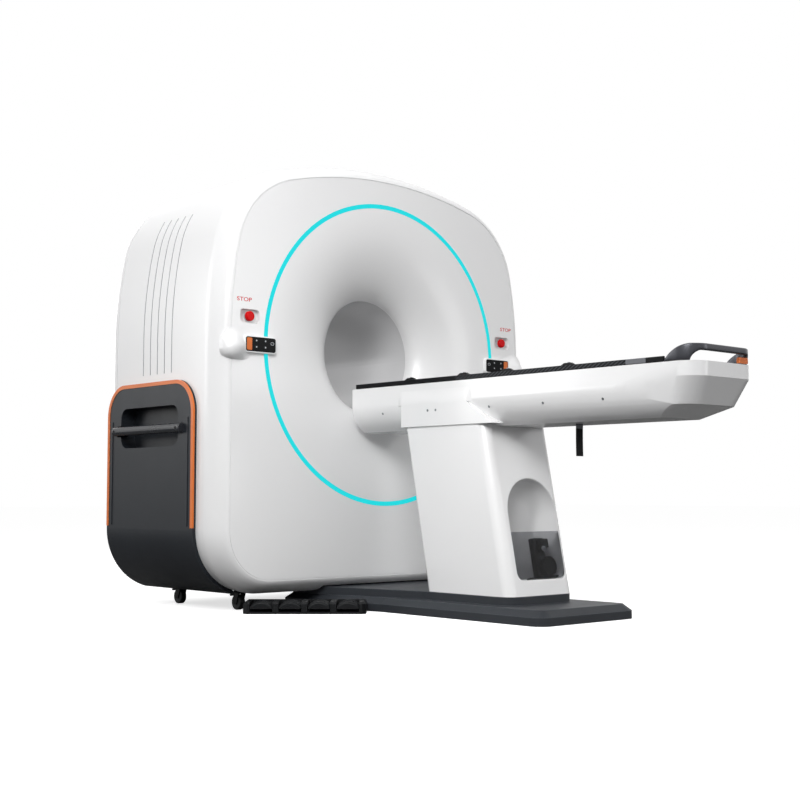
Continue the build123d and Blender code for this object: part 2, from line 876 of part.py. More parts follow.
def xray_tube():
    """X-ray tube housing with its collimator below, bolted to the disc."""
    z = bore_height + tube_offset
    start, end = (0, disc_front - tube_length, z), (0, disc_front, z)
    unit = rod(tube_radius, start, end)
    unit = fillet([e for e in unit.edges() if e.center().Y < start[1] + 1 and e.length > 100], tube_round)
    low, high = z - tube_radius - collimator_drop, z - tube_radius / 2
    unit += block(-collimator_half, collimator_half, detector_front, disc_front, low, high)
    return unit


def rotor_cabinet():
    """Right-hand cabinet on the disc: the high-voltage generator, balanced by the data unit opposite."""
    low, high = bore_height - cabinet_half, bore_height + cabinet_half
    tank = block(cabinet_near, cabinet_far, disc_front - cabinet_depth, disc_front, low, high)
    return fillet(tank.edges().filter_by(Axis.Y), cabinet_round)


def detector_arc():
    """Detector array: a sector of a ring centred on the tube's focal spot."""
    focus = bore_height + tube_offset
    inner, outer = detector_focus - detector_thick / 2, detector_focus + detector_thick / 2
    half = radians(detector_half_angle)

    def at(radius, angle):
        return radius * sin(angle), focus - radius * cos(angle)

    face = make_face(
        [
            ThreePointArc(at(inner, -half), at(inner, 0), at(inner, half)),
            Line(at(inner, half), at(outer, half)),
            ThreePointArc(at(outer, half), at(outer, 0), at(outer, -half)),
            Line(at(outer, -half), at(inner, -half)),
        ]
    )
    return slab(face, detector_front, disc_front)


def slip_ring():
    """Slip ring drum with three contact tracks, behind the inner race."""
    front = stator_front + stator_thick + race_end
    ring = tube(slip_radius, slip_inner, front, front + slip_length)
    for n in range(track_count):
        y = front + track_first + n * track_pitch
        ring -= tube(slip_radius + 1, slip_radius - track_depth, y, y + track_width)
    return ring


def brush_block():
    """Brush holder on the stator plate, reaching to the slip ring's tracks."""
    front = stator_front + stator_thick
    back = front + race_end + slip_length
    z = bore_height + slip_radius + SEAT
    foot = z + brush_height + brush_arm
    holder = block(-brush_half, brush_half, front + track_first, back, z, z + brush_height)
    holder += block(-brush_half, brush_half, front, back, foot, foot + brush_foot)
    holder += block(-30, 30, front + 40, front + 60, z + brush_height - 1, foot + 1)
    wall = Pos(0, bore_height) * Circle(slip_radius + SEAT)
    return holder - slab(wall, front, front + 100)


def pulley_centre():
    """X and Z of the drive pulley."""
    turn = radians(pulley_angle)
    return pulley_distance * cos(turn), bore_height + pulley_distance * sin(turn)


def drive_pulley():
    """Flanged motor pulley with its shaft."""
    x, z = pulley_centre()
    front, back = belt_front - belt_side_gap, belt_front + belt_width + belt_side_gap
    pulley = rod(pulley_radius, (x, front, z), (x, back, z))
    for y in (front - rim_flange_width, back):
        pulley += rod(pulley_radius + pulley_flange, (x, y, z), (x, y + rim_flange_width, z))
    return pulley + rod(pulley_shaft, (x, back, z), (x, stator_front - shaft_end, z))


def drive_motor():
    """Belt drive motor with its bearing bore, bolted to the stator plate."""
    x, z = pulley_centre()
    front = belt_front + belt_width + belt_side_gap + rim_flange_width + 6
    motor = rod(motor_radius, (x, front, z), (x, stator_front, z))
    return motor - rod(pulley_shaft + RUNNING, (x, front - 1, z), (x, stator_front - shaft_end + 5, z))


def belt_outline(extra):
    """The drive belt's loop round the rotor rim and the pulley, grown by extra."""
    big, small = disc_radius + extra, pulley_radius + extra
    turn = radians(pulley_angle)
    spread = acos((disc_radius - pulley_radius) / pulley_distance)
    px, pz = pulley_centre()
    centres = ((0.0, bore_height, big), (px, pz, small))

    def at(n, angle):
        x, z, radius = centres[n]
        return x + radius * cos(angle), z + radius * sin(angle)

    upper, lower = turn + spread, turn - spread
    return make_face(
        [
            ThreePointArc(at(0, upper), at(0, turn + pi), at(0, lower)),
            Line(at(0, lower), at(1, lower)),
            ThreePointArc(at(1, lower), at(1, turn), at(1, upper)),
            Line(at(1, upper), at(0, upper)),
        ]
    )


def drive_belt():
    """Flat drive belt in one closed loop."""
    back = belt_front + belt_width
    outer = slab(belt_outline(SEAT + belt_thick), belt_front, back)
    return outer - slab(belt_outline(SEAT), belt_front, back)


def power_unit():
    """Power supply cabinet on the base frame."""
    top = beam_low + beam_height
    x, y = -power_x, stator_front / 2 + frame_front - 40
    half = power_width / 2
    box = block(x - half, x + half, y - half, y + half, top, top + power_height)
    return fillet(box.edges().filter_by(Axis.Z), power_round)


def cooling_fans():
    """Two cooling fans behind the rear vents: square frames with a hub on four arms."""
    back = gantry_depth - cover_wall - SEAT
    fans = []
    for x in (-vent_x, vent_x):
        middle = Pos(x, fan_height)
        frame = slab(middle * RectangleRounded(fan_size, fan_size, fan_corner), back - fan_depth, back)
        frame -= slab(middle * Circle(fan_throat), back - fan_depth - 1, back + 1)
        frame += slab(middle * Circle(fan_hub), back - fan_depth + 4, back - 4)
        for turn in (45, 135):
            arm = middle * Rot(0, 0, turn) * Rectangle(2 * fan_throat + fan_arm, fan_arm)
            frame += slab(arm, back - 4 - fan_arm, back - 4)
        fans.append(frame)
    return fans


def fork(x, y):
    """Caster fork: kingpin, crown, two arms, fixed axle and brake tab, trailing towards the rear."""
    axle_y = y + caster_trail
    half = wheel_width / 2 + fork_gap
    crown_low = beam_low - 1 - fork_crown_thick
    body = rod(kingpin_radius, (x, y, crown_low), (x, y, beam_low + kingpin_length))
    body += rod(fork_crown_radius, (x, y, crown_low), (x, y, crown_low + fork_crown_thick))
    front, back = y - fork_front, y + fork_back
    eye = wheel_radius - fork_eye
    arm = polygon(
        (front, crown_low + 1), (back, crown_low + 1), (axle_y + fork_eye + 2, wheel_radius + fork_eye),
        (axle_y + fork_eye, eye), (axle_y - fork_eye, eye),
    )
    for x0 in (x - half - fork_arm, x + half):
        body += side_slab(arm, x0, x0 + fork_arm)
    wide = half + fork_arm
    body += block(x - wide, x + wide, front, back, crown_low - fork_arm, crown_low + 1)
    body += rod(axle_radius, (x - half - 1, axle_y, wheel_radius), (x + half + 1, axle_y, wheel_radius))
    root, tip = crown_low - brake_drop, crown_low - brake_drop - brake_fall
    tab = polygon(
        (back - fork_arm, root), (back + fork_arm, root + 2), (y + brake_reach, tip),
        (y + brake_reach - fork_arm, tip - 5), (back + 2, root - 10),
    )
    body += side_slab(tab, x - wide, x + wide)
    room = rod(wheel_radius + wheel_clear, (x - half, axle_y, wheel_radius), (x + half, axle_y, wheel_radius))
    room -= rod(axle_radius, (x - half, axle_y, wheel_radius), (x + half, axle_y, wheel_radius))
    return body - room


def wheel(x, y):
    """Caster wheel with rounded tread, running on the fork's axle."""
    axle_y = y + caster_trail
    half = wheel_width / 2
    tyre = rod(wheel_radius, (x - half, axle_y, wheel_radius), (x + half, axle_y, wheel_radius))
    tyre = fillet([e for e in tyre.edges() if e.length > 100 and abs(e.center().X - x) > half - 1], tyre_round)
    start, end = (x - half - 1, axle_y, wheel_radius), (x + half + 1, axle_y, wheel_radius)
    return tyre - rod(axle_radius + RUNNING, start, end)


def plate_outline(inset, front_inset):
    """Plan of the floor plate: parallel sides, a flare under the gantry and two round front corners."""
    half, rear = plate_half_width - inset, plate_rear_half - inset
    front = plate_front + front_inset
    r = plate_corner - inset * 0.4
    s = r * (1 - cos(pi / 4))
    return make_face(
        [
            Line((rear, plate_rear - inset), (rear, plate_taper_rear)),
            Line((rear, plate_taper_rear), (half, plate_taper_front)),
            Line((half, plate_taper_front), (half, front + r)),
            ThreePointArc((half, front + r), (half - s, front + s), (half - r, front)),
            Line((half - r, front), (r - half, front)),
            ThreePointArc((r - half, front), (s - half, front + s), (-half, front + r)),
            Line((-half, front + r), (-half, plate_taper_front)),
            Line((-half, plate_taper_front), (-rear, plate_taper_rear)),
            Line((-rear, plate_taper_rear), (-rear, plate_rear - inset)),
            Line((-rear, plate_rear - inset), (rear, plate_rear - inset)),
        ]
    )


def pedestal_centre(z):
    """Y of the middle of the leaning pedestal at height z."""
    return pedestal_front + pedestal_depth / 2 + lean * (z - plinth_top)


def floor_plate():
    """Cast floor plate with sloping rim and the plinth that joins gantry and pedestal."""
    plate = extrude(plate_outline(0, 0), amount=plate_edge)
    crown = Pos(0, 0, plate_top) * plate_outline(plate_slope, plate_slope)
    plate += loft([Pos(0, 0, plate_edge) * plate_outline(0, 0), crown])
    half = pedestal_half + plinth_margin
    low = pedestal_front - plinth_margin
    back = low + pedestal_depth + 2 * plinth_margin
    r = pedestal_corner + plinth_margin
    s = r * (1 - cos(pi / 4))
    rear = plinth_rear_half
    plinth = make_face(
        [
            Line((rear, plate_rear - 30), (rear, plate_taper_rear)),
            Line((rear, plate_taper_rear), (half, back)),
            Line((half, back), (half, low + r)),
            ThreePointArc((half, low + r), (half - s, low + s), (half - r, low)),
            Line((half - r, low), (r - half, low)),
            ThreePointArc((r - half, low), (s - half, low + s), (-half, low + r)),
            Line((-half, low + r), (-half, back)),
            Line((-half, back), (-rear, plate_taper_rear)),
            Line((-rear, plate_taper_rear), (-rear, plate_rear - 30)),
            Line((-rear, plate_rear - 30), (rear, plate_rear - 30)),
        ]
    )
    plate += extrude(Pos(0, 0, plate_top - 1) * plinth, amount=plinth_top - plate_top + 1)
    return plate


def leaning(face, low, high):
    """A plan section, given at the plinth's top, carried up along the pedestal's lean."""
    foot = Pos(0, lean * (low - plinth_top), low) * face
    return extrude(foot, amount=(high - low) * sqrt(1 + lean * lean), dir=(0, lean, 1))


def pedestal_section(grow):
    """Plan of the pedestal cover at the plinth's top."""
    width, depth = 2 * (pedestal_half + grow), pedestal_depth + 2 * grow
    return Pos(0, pedestal_centre(plinth_top)) * RectangleRounded(width, depth, pedestal_corner + grow)


def pocket_plane():
    """The pedestal's leaning front face, with its origin at the pocket's foot."""
    y = pedestal_front + lean * (pocket_low - plinth_top)
    return Plane(origin=(pocket_x, y, pocket_low), x_dir=(1, 0, 0), z_dir=(0, -1, lean))


def pocket_outline(grow):
    """Arch-topped outline of the storage pocket on the front face."""
    height = (pocket_high - pocket_low) * sqrt(1 + lean * lean)
    half = pocket_width / 2 + grow
    low, top = -grow, height + grow
    r = pocket_corner + grow
    s = r * (1 - cos(pi / 4))
    return make_face(
        [
            Line((half, low + r), (half, top - half)),
            ThreePointArc((half, top - half), (0, top), (-half, top - half)),
            Line((-half, top - half), (-half, low + r)),
            ThreePointArc((-half, low + r), (s - half, low + s), (r - half, low)),
            Line((r - half, low), (half - r, low)),
            ThreePointArc((half - r, low), (half - s, low + s), (half, low + r)),
        ]
    )


def into_pocket(face, start, end):
    """A face on the pocket's plane, filled from depth start to depth end behind it."""
    return extrude(pocket_plane().offset(-end) * face, amount=end - start)


def pedestal_cover():
    """Leaning telescopic cover of the table column, with the pocket's opening."""
    shell = leaning(pedestal_section(0), plinth_top, pedestal_top)
    shell -= leaning(pedestal_section(-pedestal_wall), plinth_top - 20, pedestal_top + 20)
    return shell - into_pocket(pocket_outline(0), -60, 60)


def pocket_liner():
    """Storage tray set into the pedestal's front."""
    start = pedestal_wall + SEAT
    flange = into_pocket(pocket_outline(pocket_flange), start, start + pocket_wall)
    tray = into_pocket(pocket_outline(-SEAT), 0, pocket_depth)
    liner = tray + flange
    liner -= into_pocket(pocket_outline(-SEAT - pocket_wall), -10, pocket_depth - pocket_wall)
    section = leaning(pedestal_section(-pedestal_wall - SEAT), plinth_top + SEAT, pedestal_top)
    keep = section + into_pocket(pocket_outline(-SEAT), 0, pocket_depth)
    return liner & keep


def pocket_window():
    """Smoked cover over the lower part of the pocket."""
    inset = -SEAT - pocket_wall - SEAT
    pane = into_pocket(pocket_outline(inset), window_recess, window_recess + window_thick)
    cut = pocket_plane() * Pos(0, window_height * sqrt(1 + lean * lean) + FAR / 2) * Box(FAR, FAR, FAR)
    return pane - cut


def hand_controller():
    """Hand pendant and its cradle at the foot of the pocket."""
    floor = SEAT + pocket_wall + SEAT
    plane = pocket_plane()
    x, depth = pendant_x, -pendant_depth
    cradle = plane * (Pos(x, floor + cradle_rise / 2, depth) * Box(cradle_width, cradle_rise, cradle_depth))
    middle = floor + cradle_rise / 2 + pendant_height / 2
    stem = plane * (Pos(x, middle, depth - 8) * Box(pendant_width, pendant_height, pendant_thick))
    stem = fillet(stem.edges().filter_by(Axis((0, 0, 0), plane.y_dir)), pendant_round)
    head_y = floor + pendant_height - pendant_head / 2
    head = plane * (Pos(x + 6, head_y, depth + 4) * Box(pendant_width - 12, pendant_head, pendant_thick + 10))
    drum_y = floor + cradle_rise + coil_radius
    drum = plane * (Pos(x + 14, drum_y, depth + 12) * Cylinder(coil_radius, coil_radius))
    knob_y = head_y - pendant_head / 2 - knob_radius + 3
    knob = plane * (Pos(x - 8, knob_y, depth + 18) * Cylinder(knob_radius, 3 * knob_radius))
    room = into_pocket(pocket_outline(-SEAT - pocket_wall - SEAT), 0, pocket_depth)
    return (cradle + stem + head + drum + knob) & room


def column_section(grow):
    """Plan of the lift column at the plinth's top."""
    y = pedestal_centre(plinth_top) + column_back_shift
    return Pos(0, y) * RectangleRounded(column_width + 2 * grow, column_depth + 2 * grow, column_corner + grow)


def column_outer():
    """Fixed outer tube of the lift column."""
    tube_solid = leaning(column_section(0), plinth_top, column_outer_top)
    return tube_solid - leaning(column_section(-column_wall), plinth_top + 8, column_outer_top + 20)


def column_inner():
    """Moving inner tube of the lift column with the head plate that carries the table."""
    grow = -column_wall - SEAT
    inner = leaning(column_section(grow), column_inner_low, head_plate_z)
    inner -= leaning(column_section(grow - column_wall), column_inner_low - 20, head_plate_z - 10)
    y = pedestal_centre(head_plate_z)
    half = hull_half - hull_wall - SEAT
    y0, y1 = y - head_plate_half, y + head_plate_half
    inner += block(-half, half, y0, y1, head_plate_z, head_plate_z + head_plate_thick)
    return inner


def lift_motor():
    """Lift gear motor beside the column."""
    y = pedestal_centre(plinth_top) + column_back_shift
    x = column_width / 2 + lift_motor_radius + lift_motor_gap
    return rod(lift_motor_radius, (x, y, plinth_top), (x, y, plinth_top + lift_motor_height))


def hull_section(inset):
    """Cross section of the hull: upright sides, bilge curves and a flat belly."""
    side = hull_half - inset
    knuckle = (bilge_half - 0.75 * inset, bilge_z + 0.5 * inset)
    low = (belly_half - 0.3 * inset, belly_z + inset)
    top = hull_top + inset
    right = [
        Line((side, top), (side, bilge_top)),
        ThreePointArc((side, bilge_top), knuckle, low),
    ]
    left = [mirror(edge, about=Plane.YZ) for edge in right]
    closing = [Line((-side, top), (side, top)), Line(low, (-low[0], low[1]))]
    return make_face(right + left + closing)


def nose_plan(start_half, corner_half, corner_start, end, z, inset):
    """Plan of the nose at one height: sides from the start to a rounded corner, and a blunt end."""
    a = (start_half - inset, nose_start + 5)
    b = (corner_half - inset, corner_start)
    reach = corner_start - (end + inset)
    c = (corner_half - inset - reach, end + inset)
    s = reach * (1 - cos(pi / 4))
    knuckle = (corner_half - inset - s, end + inset + s)
    right = [Line(a, b), ThreePointArc(b, knuckle, c)]
    left = [mirror(edge, about=Plane.YZ) for edge in right]
    closing = [Line(c, (-c[0], c[1])), Line((-a[0], a[1]), a)]
    return Pos(0, 0, z) * make_face(right + left + closing)


def nose_solid(inset):
    """Envelope of the hull's nose: an upright band, a sloping facet and a rising underside."""
    half = hull_half + nose_spare
    band = (half, half, hull_far + nose_round, hull_far)
    crease = (half + 3, nose_crease_half, nose_crease_start, nose_crease_end)
    belly = (half - 3, nose_belly_half, nose_belly_start, nose_belly_end)
    top = nose_plan(*band, hull_top + inset + 2, inset)
    upper = nose_plan(*band, nose_band, inset)
    middle = nose_plan(*crease, nose_crease_z + inset / 2, inset)
    lower = nose_plan(*belly, nose_belly_z, inset)
    solid = loft([upper, top], ruled=True)
    solid += loft([middle, upper], ruled=True)
    return solid + loft([lower, middle], ruled=True)


def hull_solid(inset):
    """The hull as a full solid: a long prism whose far end is trimmed to the nose."""
    section = hull_section(inset)
    body = slab(section, nose_start - 1, hull_end - inset)
    tip = slab(section, hull_far - 10, nose_start)
    return body + (tip & nose_solid(inset))


def boss_face(inset):
    """Side outline of the boss that sleeves over the pedestal."""
    return polygon(
        (boss_rear - inset, boss_high), (boss_rear - inset, boss_low + inset),
        (boss_front_low + inset, boss_low + inset), (boss_front_high + inset, boss_high),
    )


def table_hull():
    """Boat-shaped table housing with the boss that sleeves over the pedestal."""
    hull = hull_solid(0)
    hull += side_slab(boss_face(0), -boss_half, boss_half)
    hull = hull - hull_solid(hull_wall)
    return hull - leaning(pedestal_section(boss_gap), belly_z - 30, throat_top)


def table_deck():
    """Deck inside the hull with the two guide rails that the tabletop slides on."""
    half = hull_half - hull_wall - deck_gap
    low = deck_top - deck_thick
    far = hull_far + nose_round + hull_wall
    near = hull_end - hull_wall - deck_gap
    deck = block(-half, half, far, near, low, deck_top)
    for x in (-guide_x, guide_x):
        x0, x1 = x - guide_width / 2, x + guide_width / 2
        deck += block(x0, x1, far, near - deck_foot, deck_top, deck_top + guide_height)
    y = pedestal_centre(head_plate_z)
    seat = head_plate_z + head_plate_thick
    for x0, x1 in ((-half, -half + deck_foot), (half - deck_foot, half)):
        deck += block(x0, x1, y - head_plate_half, y + head_plate_half, seat, low)
    return deck


def board_low():
    """Underside of the tabletop board."""
    return hull_top + board_gap


def slide_carriage():
    """Carriage under the board: a plate with a channel over each guide rail."""
    low, high = deck_top + SEAT, board_low()
    far = board_far + carriage_end_gap
    near = far + carriage_length
    plate = block(-carriage_half, carriage_half, far, near, low, high)
    for x in (-guide_x, guide_x):
        half = guide_width / 2 + SEAT
        plate -= block(x - half, x + half, far - 1, near + 1, low - 1, deck_top + guide_height + SEAT)
    return plate


def tabletop():
    """Carbon patient board with rounded edges and corners."""
    low = board_low()
    mid = (board_near + board_far) / 2
    plan = RectangleRounded(2 * board_half, board_near - board_far, board_corner)
    board = extrude(Pos(0, mid, low) * plan, amount=board_thick)
    rim = board.faces().sort_by(Axis.Z)[-1].edges()
    return fillet(rim, board_round)


def side_rails():
    """Accessory rail along each side of the board, on spacer studs."""
    x0 = board_half + rail_gap
    rail = block(x0, x0 + side_rail_width, rail_far, rail_near, rail_low, rail_low + side_rail_height)
    rail = fillet(rail.edges().filter_by(Axis.Y), rail_round)
    pitch = (rail_near - rail_far - 2 * stud_inset) / (stud_count - 1)
    z = rail_low + stud_rise
    for n in range(stud_count):
        y = rail_near - stud_inset - n * pitch
        rail += rod(stud_radius, (board_half, y, z), (x0 + 1, y, z))
    return both_sides(rail)


def rail_clips():
    """Strap clips that sit on the side rails."""
    clips = []
    low = rail_low + side_rail_height
    high = low + clip_rise
    inner = board_half + rail_gap
    half = clip_length / 2
    flat = half - clip_slope
    for y in clip_ys:
        face = polygon((y - half, low), (y - flat, high), (y + flat, high), (y + half, low))
        clips += both_sides(side_slab(face, inner, inner + side_rail_width))
    return clips


def handle_loop():
    """Push handle: a loop that follows the nose in plan, arched across the end and swept down to the rails."""
    outer = nose_plan(loop_half, loop_half, loop_far + nose_round, loop_far, loop_low, 0)
    inner = nose_plan(loop_half, loop_half, loop_far + nose_round, loop_far, loop_low, loop_thick)
    rise = 2 * (loop_crown - loop_low)
    band = extrude(outer, amount=rise) - extrude(inner, amount=rise)
    far, top = loop_far - 1, loop_crown + 1
    side = polygon(
        (loop_root, loop_low), (loop_shoulder_y, loop_shoulder_z), (loop_shoulder_y - loop_shoulder_run, top),
        (far, top), (far, loop_low),
    )
    crown = make_face(
        [
            Line((-loop_half, loop_low), (-loop_half, loop_end_z)),
            ThreePointArc((-loop_half, loop_end_z), (0, loop_crown), (loop_half, loop_end_z)),
            Line((loop_half, loop_end_z), (loop_half, loop_low)),
            Line((loop_half, loop_low), (-loop_half, loop_low)),
        ]
    )
    loop = band & side_slab(side, -loop_half, loop_half) & slab(crown, loop_far, loop_root)
    low = board_low() + 1
    foot = loop_half - loop_thick
    loop += block(-foot - 1, foot + 1, loop_root - loop_foot, board_far, low, low + loop_foot_thick)
    opening = RectangleRounded(2 * loop_open_half, loop_open_height, loop_open_round)
    opening = Pos(0, loop_open_top - loop_open_height / 2) * opening
    loop -= slab(opening, loop_far - 1, loop_far + nose_round)
    y = loop_far + loop_thick / 2
    loop += rod(lever_pin, (lever_x0 + lever_shoulder, y, lever_axis_z), (loop_open_half + 3, y, lever_axis_z))
    return loop


def release_lever():
    """Orange lever under the push handle's bar, turning on its pin."""
    y = loop_far + loop_thick / 2
    lever = rod(lever_round, (lever_x0, y, lever_axis_z), (lever_x1, y, lever_axis_z))
    lever += block(lever_x0, lever_x1, y - lever_round, y + lever_round, lever_low, lever_axis_z)
    start = lever_x0 + lever_shoulder - lever_end_gap
    return lever - rod(lever_pin + RUNNING, (start, y, lever_axis_z), (lever_x1 + 5, y, lever_axis_z))


def strap():
    """Webbing strap that hangs under the hull."""
    half = strap_width / 2
    y0 = strap_y - strap_thick / 2
    top = belly_z - SEAT
    return block(-half, half, y0, y0 + strap_thick, top - strap_length, top)


def foot_place():
    """Place of the foot switch: its inner rear corner meets the floor plate's flared side."""
    share = (plate_taper_rear - foot_dock_y) / (plate_taper_rear - plate_taper_front)
    edge = -plate_rear_half + share * (plate_rear_half - plate_half_width)
    return Pos(edge - SEAT, foot_dock_y) * Rot(0, 0, foot_turn) * Pos(-foot_length, -foot_depth)


def foot_bays():
    """Start of each pedal's bay along the foot switch."""
    gap = (foot_length - pedal_count * pedal_width) / (pedal_count + 1)
    return [gap + n * (pedal_width + gap) for n in range(pedal_count)]


def foot_switch_base():
    """Foot switch housing: floor, ribs between the pedals, rear wall and pedal shaft."""
    body = block(0, foot_length, 0, foot_depth, 0, foot_height)
    body = chamfer(body.edges().filter_by(Axis.Z).sort_by(Axis.Y)[:2], foot_corner)
    top = [e for e in body.edges() if e.center().Z > foot_height - 0.1 and e.center().Y < foot_depth - 1]
    body = chamfer(top, foot_bevel)
    for x in foot_bays():
        x0, x1 = x - pedal_gap, x + pedal_width + pedal_gap
        body -= block(x0, x1, -1, foot_depth - foot_wall, foot_floor, foot_height + 1)
    shaft_y, shaft_z = foot_shaft_back, foot_shaft_height
    end = foot_length - foot_floor
    body += rod(foot_shaft_radius, (foot_floor, shaft_y, shaft_z), (end, shaft_y, shaft_z))
    return body


def foot_pedal(x):
    """One arched pedal with its bore on the common shaft."""
    far, top, spring = x + pedal_width, foot_height, foot_height - pedal_arch
    face = make_face(
        [
            Line((x, pedal_low), (x, spring)),
            ThreePointArc((x, spring), ((x + far) / 2, top), (far, spring)),
            Line((far, spring), (far, pedal_low)),
            Line((far, pedal_low), (x, pedal_low)),
        ]
    )
    pedal = slab(face, pedal_gap, foot_depth - foot_wall - pedal_gap)
    pedal = fillet(pedal.faces().sort_by(Axis.Y)[0].edges().sort_by(Axis.Z)[-1], pedal_round)
    return pedal - rod(
        foot_shaft_radius + RUNNING, (x - 1, foot_shaft_back, foot_shaft_height),
        (x + pedal_width + 1, foot_shaft_back, foot_shaft_height),
    )


def main():
    """Build every node."""
    add("front_cover", front_cover())
    add("light_ring", light_ring())
    add("bore_liner", tube(bore_radius + liner_wall, bore_radius, funnel_depth + funnel_collar + SEAT,
                           gantry_depth - rear_funnel_depth - funnel_collar - SEAT))
    add("wrap_cover", wrap_cover())
    add("rear_cover", rear_cover())
    for name, shape in zip(("side_panel_left", "side_panel_right"), both_sides(left_panel())):
        add(name, shape)
    add("panel_trims", *both_sides(left_trim()))
    add("carry_handles", *both_sides(left_handle()))
    add("control_pods", *both_sides(left_pod()))
    add("control_panels", *both_sides(left_panel_plate()))
    for name, shape in zip(("move_key_left", "move_key_right"), both_sides(left_key())):
        add(name, shape)
    for name, shape in zip(("stop_button_left", "stop_button_right"), both_sides(left_stop())):
        add(name, shape)
    add("base_frame", base_frame())
    add("stator_frame", stator_frame())
    add("bearing_outer_race", bearing_outer_race())
    add("bearing_inner_race", bearing_inner_race())
    add("rotor_drum", rotor_drum())
    add("xray_tube", xray_tube())
    add("rotor_cabinets", *both_sides(rotor_cabinet()))
    add("detector_arc", detector_arc())
    add("slip_ring", slip_ring())
    add("brush_block", brush_block())
    add("drive_pulley", drive_pulley())
    add("drive_motor", drive_motor())
    add("drive_belt", drive_belt())
    add("power_unit", power_unit())
    add("cooling_fans", *cooling_fans())
    corners = {"front_left": (-1, caster_front), "front_right": (1, caster_front),
               "rear_left": (-1, caster_back), "rear_right": (1, caster_back)}
    for name, (side, y) in corners.items():
        add(f"caster_fork_{name}", fork(side * caster_x, y))
        add(f"caster_wheel_{name}", wheel(side * caster_x, y))
    add("floor_plate", floor_plate())
    add("pedestal_cover", pedestal_cover())
    add("pocket_liner", pocket_liner())
    add("pocket_window", pocket_window())
    add("hand_controller", hand_controller())
    add("column_outer", column_outer())
    add("column_inner", column_inner())
    add("lift_motor", lift_motor())
    add("table_hull", table_hull())
    add("table_deck", table_deck())
    add("slide_carriage", slide_carriage())
    add("tabletop", tabletop())
    add("side_rails", *side_rails())
    add("rail_clips", *rail_clips())
    add("end_handle", handle_loop())
    add("release_lever", release_lever())
    add("strap", strap())
    add("foot_switch_base", foot_place() * foot_switch_base())
    for n, x in enumerate(foot_bays()):
        add(f"foot_pedal_{n + 1}", foot_place() * foot_pedal(x))
    for name, shape in parts.items():
        export_step(shape, f"parts/{name}.step")
    print(len(parts), "nodes")


if __name__ == "__main__":
    main()
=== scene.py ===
"""Looks of a compact CT scanner: its finishes, small fittings, studio light and camera.

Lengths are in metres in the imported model's own frame: x across the ring, y into it, z up. Values named
_mm are in millimetres, and so are the sizes and steps of raised pads, the rollers and the swell's reaches.
"""
import logging
import math
from dataclasses import dataclass
from enum import Enum
from typing import Any

import bmesh
import bpy
import numpy as np
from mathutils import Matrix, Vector


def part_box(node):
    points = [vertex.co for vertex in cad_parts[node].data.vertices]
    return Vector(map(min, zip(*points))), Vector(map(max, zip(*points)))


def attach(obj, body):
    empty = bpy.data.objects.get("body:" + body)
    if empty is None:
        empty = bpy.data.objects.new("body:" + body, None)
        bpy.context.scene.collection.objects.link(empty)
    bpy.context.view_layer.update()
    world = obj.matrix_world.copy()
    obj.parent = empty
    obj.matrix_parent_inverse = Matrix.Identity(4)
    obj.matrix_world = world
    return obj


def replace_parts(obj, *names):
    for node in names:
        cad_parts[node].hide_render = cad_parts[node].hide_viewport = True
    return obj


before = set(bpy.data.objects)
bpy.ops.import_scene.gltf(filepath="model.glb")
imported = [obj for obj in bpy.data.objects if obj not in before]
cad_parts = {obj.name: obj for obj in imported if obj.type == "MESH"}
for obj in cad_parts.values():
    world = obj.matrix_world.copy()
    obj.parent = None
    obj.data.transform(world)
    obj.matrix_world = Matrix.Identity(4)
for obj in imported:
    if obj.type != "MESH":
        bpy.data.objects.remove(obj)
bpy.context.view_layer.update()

MM = 0.001
LOG = logging.getLogger("ct_scanner")
Pair = tuple[float, float]
Triple = tuple[float, float, float]
Steps = tuple[Pair, ...]
Row = tuple[float, ...]
Piece = bpy.types.Object
Tree = bpy.types.NodeTree
Socket = bpy.types.NodeSocket


class Side(Enum):
    """The scanner's two sides, seen from the table's end."""

    LEFT = -1
    RIGHT = 1


class Body(Enum):
    """Moving parts that new pieces ride on."""

    GANTRY = "gantry"
    TABLE = "table_lift"
    TOP = "tabletop"
    PEDAL_1 = "foot_pedal_1"
    PEDAL_2 = "foot_pedal_2"
    PEDAL_3 = "foot_pedal_3"
    PEDAL_4 = "foot_pedal_4"


PEDALS = (Body.PEDAL_1, Body.PEDAL_2, Body.PEDAL_3, Body.PEDAL_4)


def linear(colour: str) -> tuple[float, float, float, float]:
    """Turn an sRGB hex colour into Blender's linear colour.

    Args:
        colour: six hex digits with a leading #.

    Returns:
        Red, green, blue and an alpha of 1, where each is ((s + 0.055) / 1.055) to the power 2.4.
    """
    shades = np.array([int(colour[i:i + 2], 16) for i in (1, 3, 5)]) / 255
    low = shades / 12.92
    high = ((shades + 0.055) / 1.055) ** 2.4
    return (*(float(value) for value in np.where(shades <= 0.04045, low, high)), 1.0)


def add(
    tree: Tree, kind: str, inputs: dict[Any, Any] | None = None, give: str = "", **settings: Any,
) -> Socket | None:
    """Add one node with its settings and links.

    Args:
        tree: the tree that gets the node.
        kind: the node's type, without the ShaderNode in front.
        inputs: values or output sockets, by the input's name or number.
        give: the output to give, where it isn't the first.
        settings: the node's own properties.

    Returns:
        That output of the new node, or None where it has no output.
    """
    made = tree.nodes.new("ShaderNode" + kind)
    for name, value in settings.items():
        setattr(made, name, value)
    for name, value in (inputs or {}).items():
        if isinstance(value, Socket):
            tree.links.new(value, made.inputs[name])
        else:
            made.inputs[name].default_value = value
    return next((out for out in made.outputs if out.enabled and give in ("", out.name)), None)


def blank(owner: bpy.types.Material | bpy.types.World) -> Tree:
    """Give a material or the world an empty node tree."""
    owner.use_nodes = True
    owner.node_tree.nodes.clear()
    return owner.node_tree


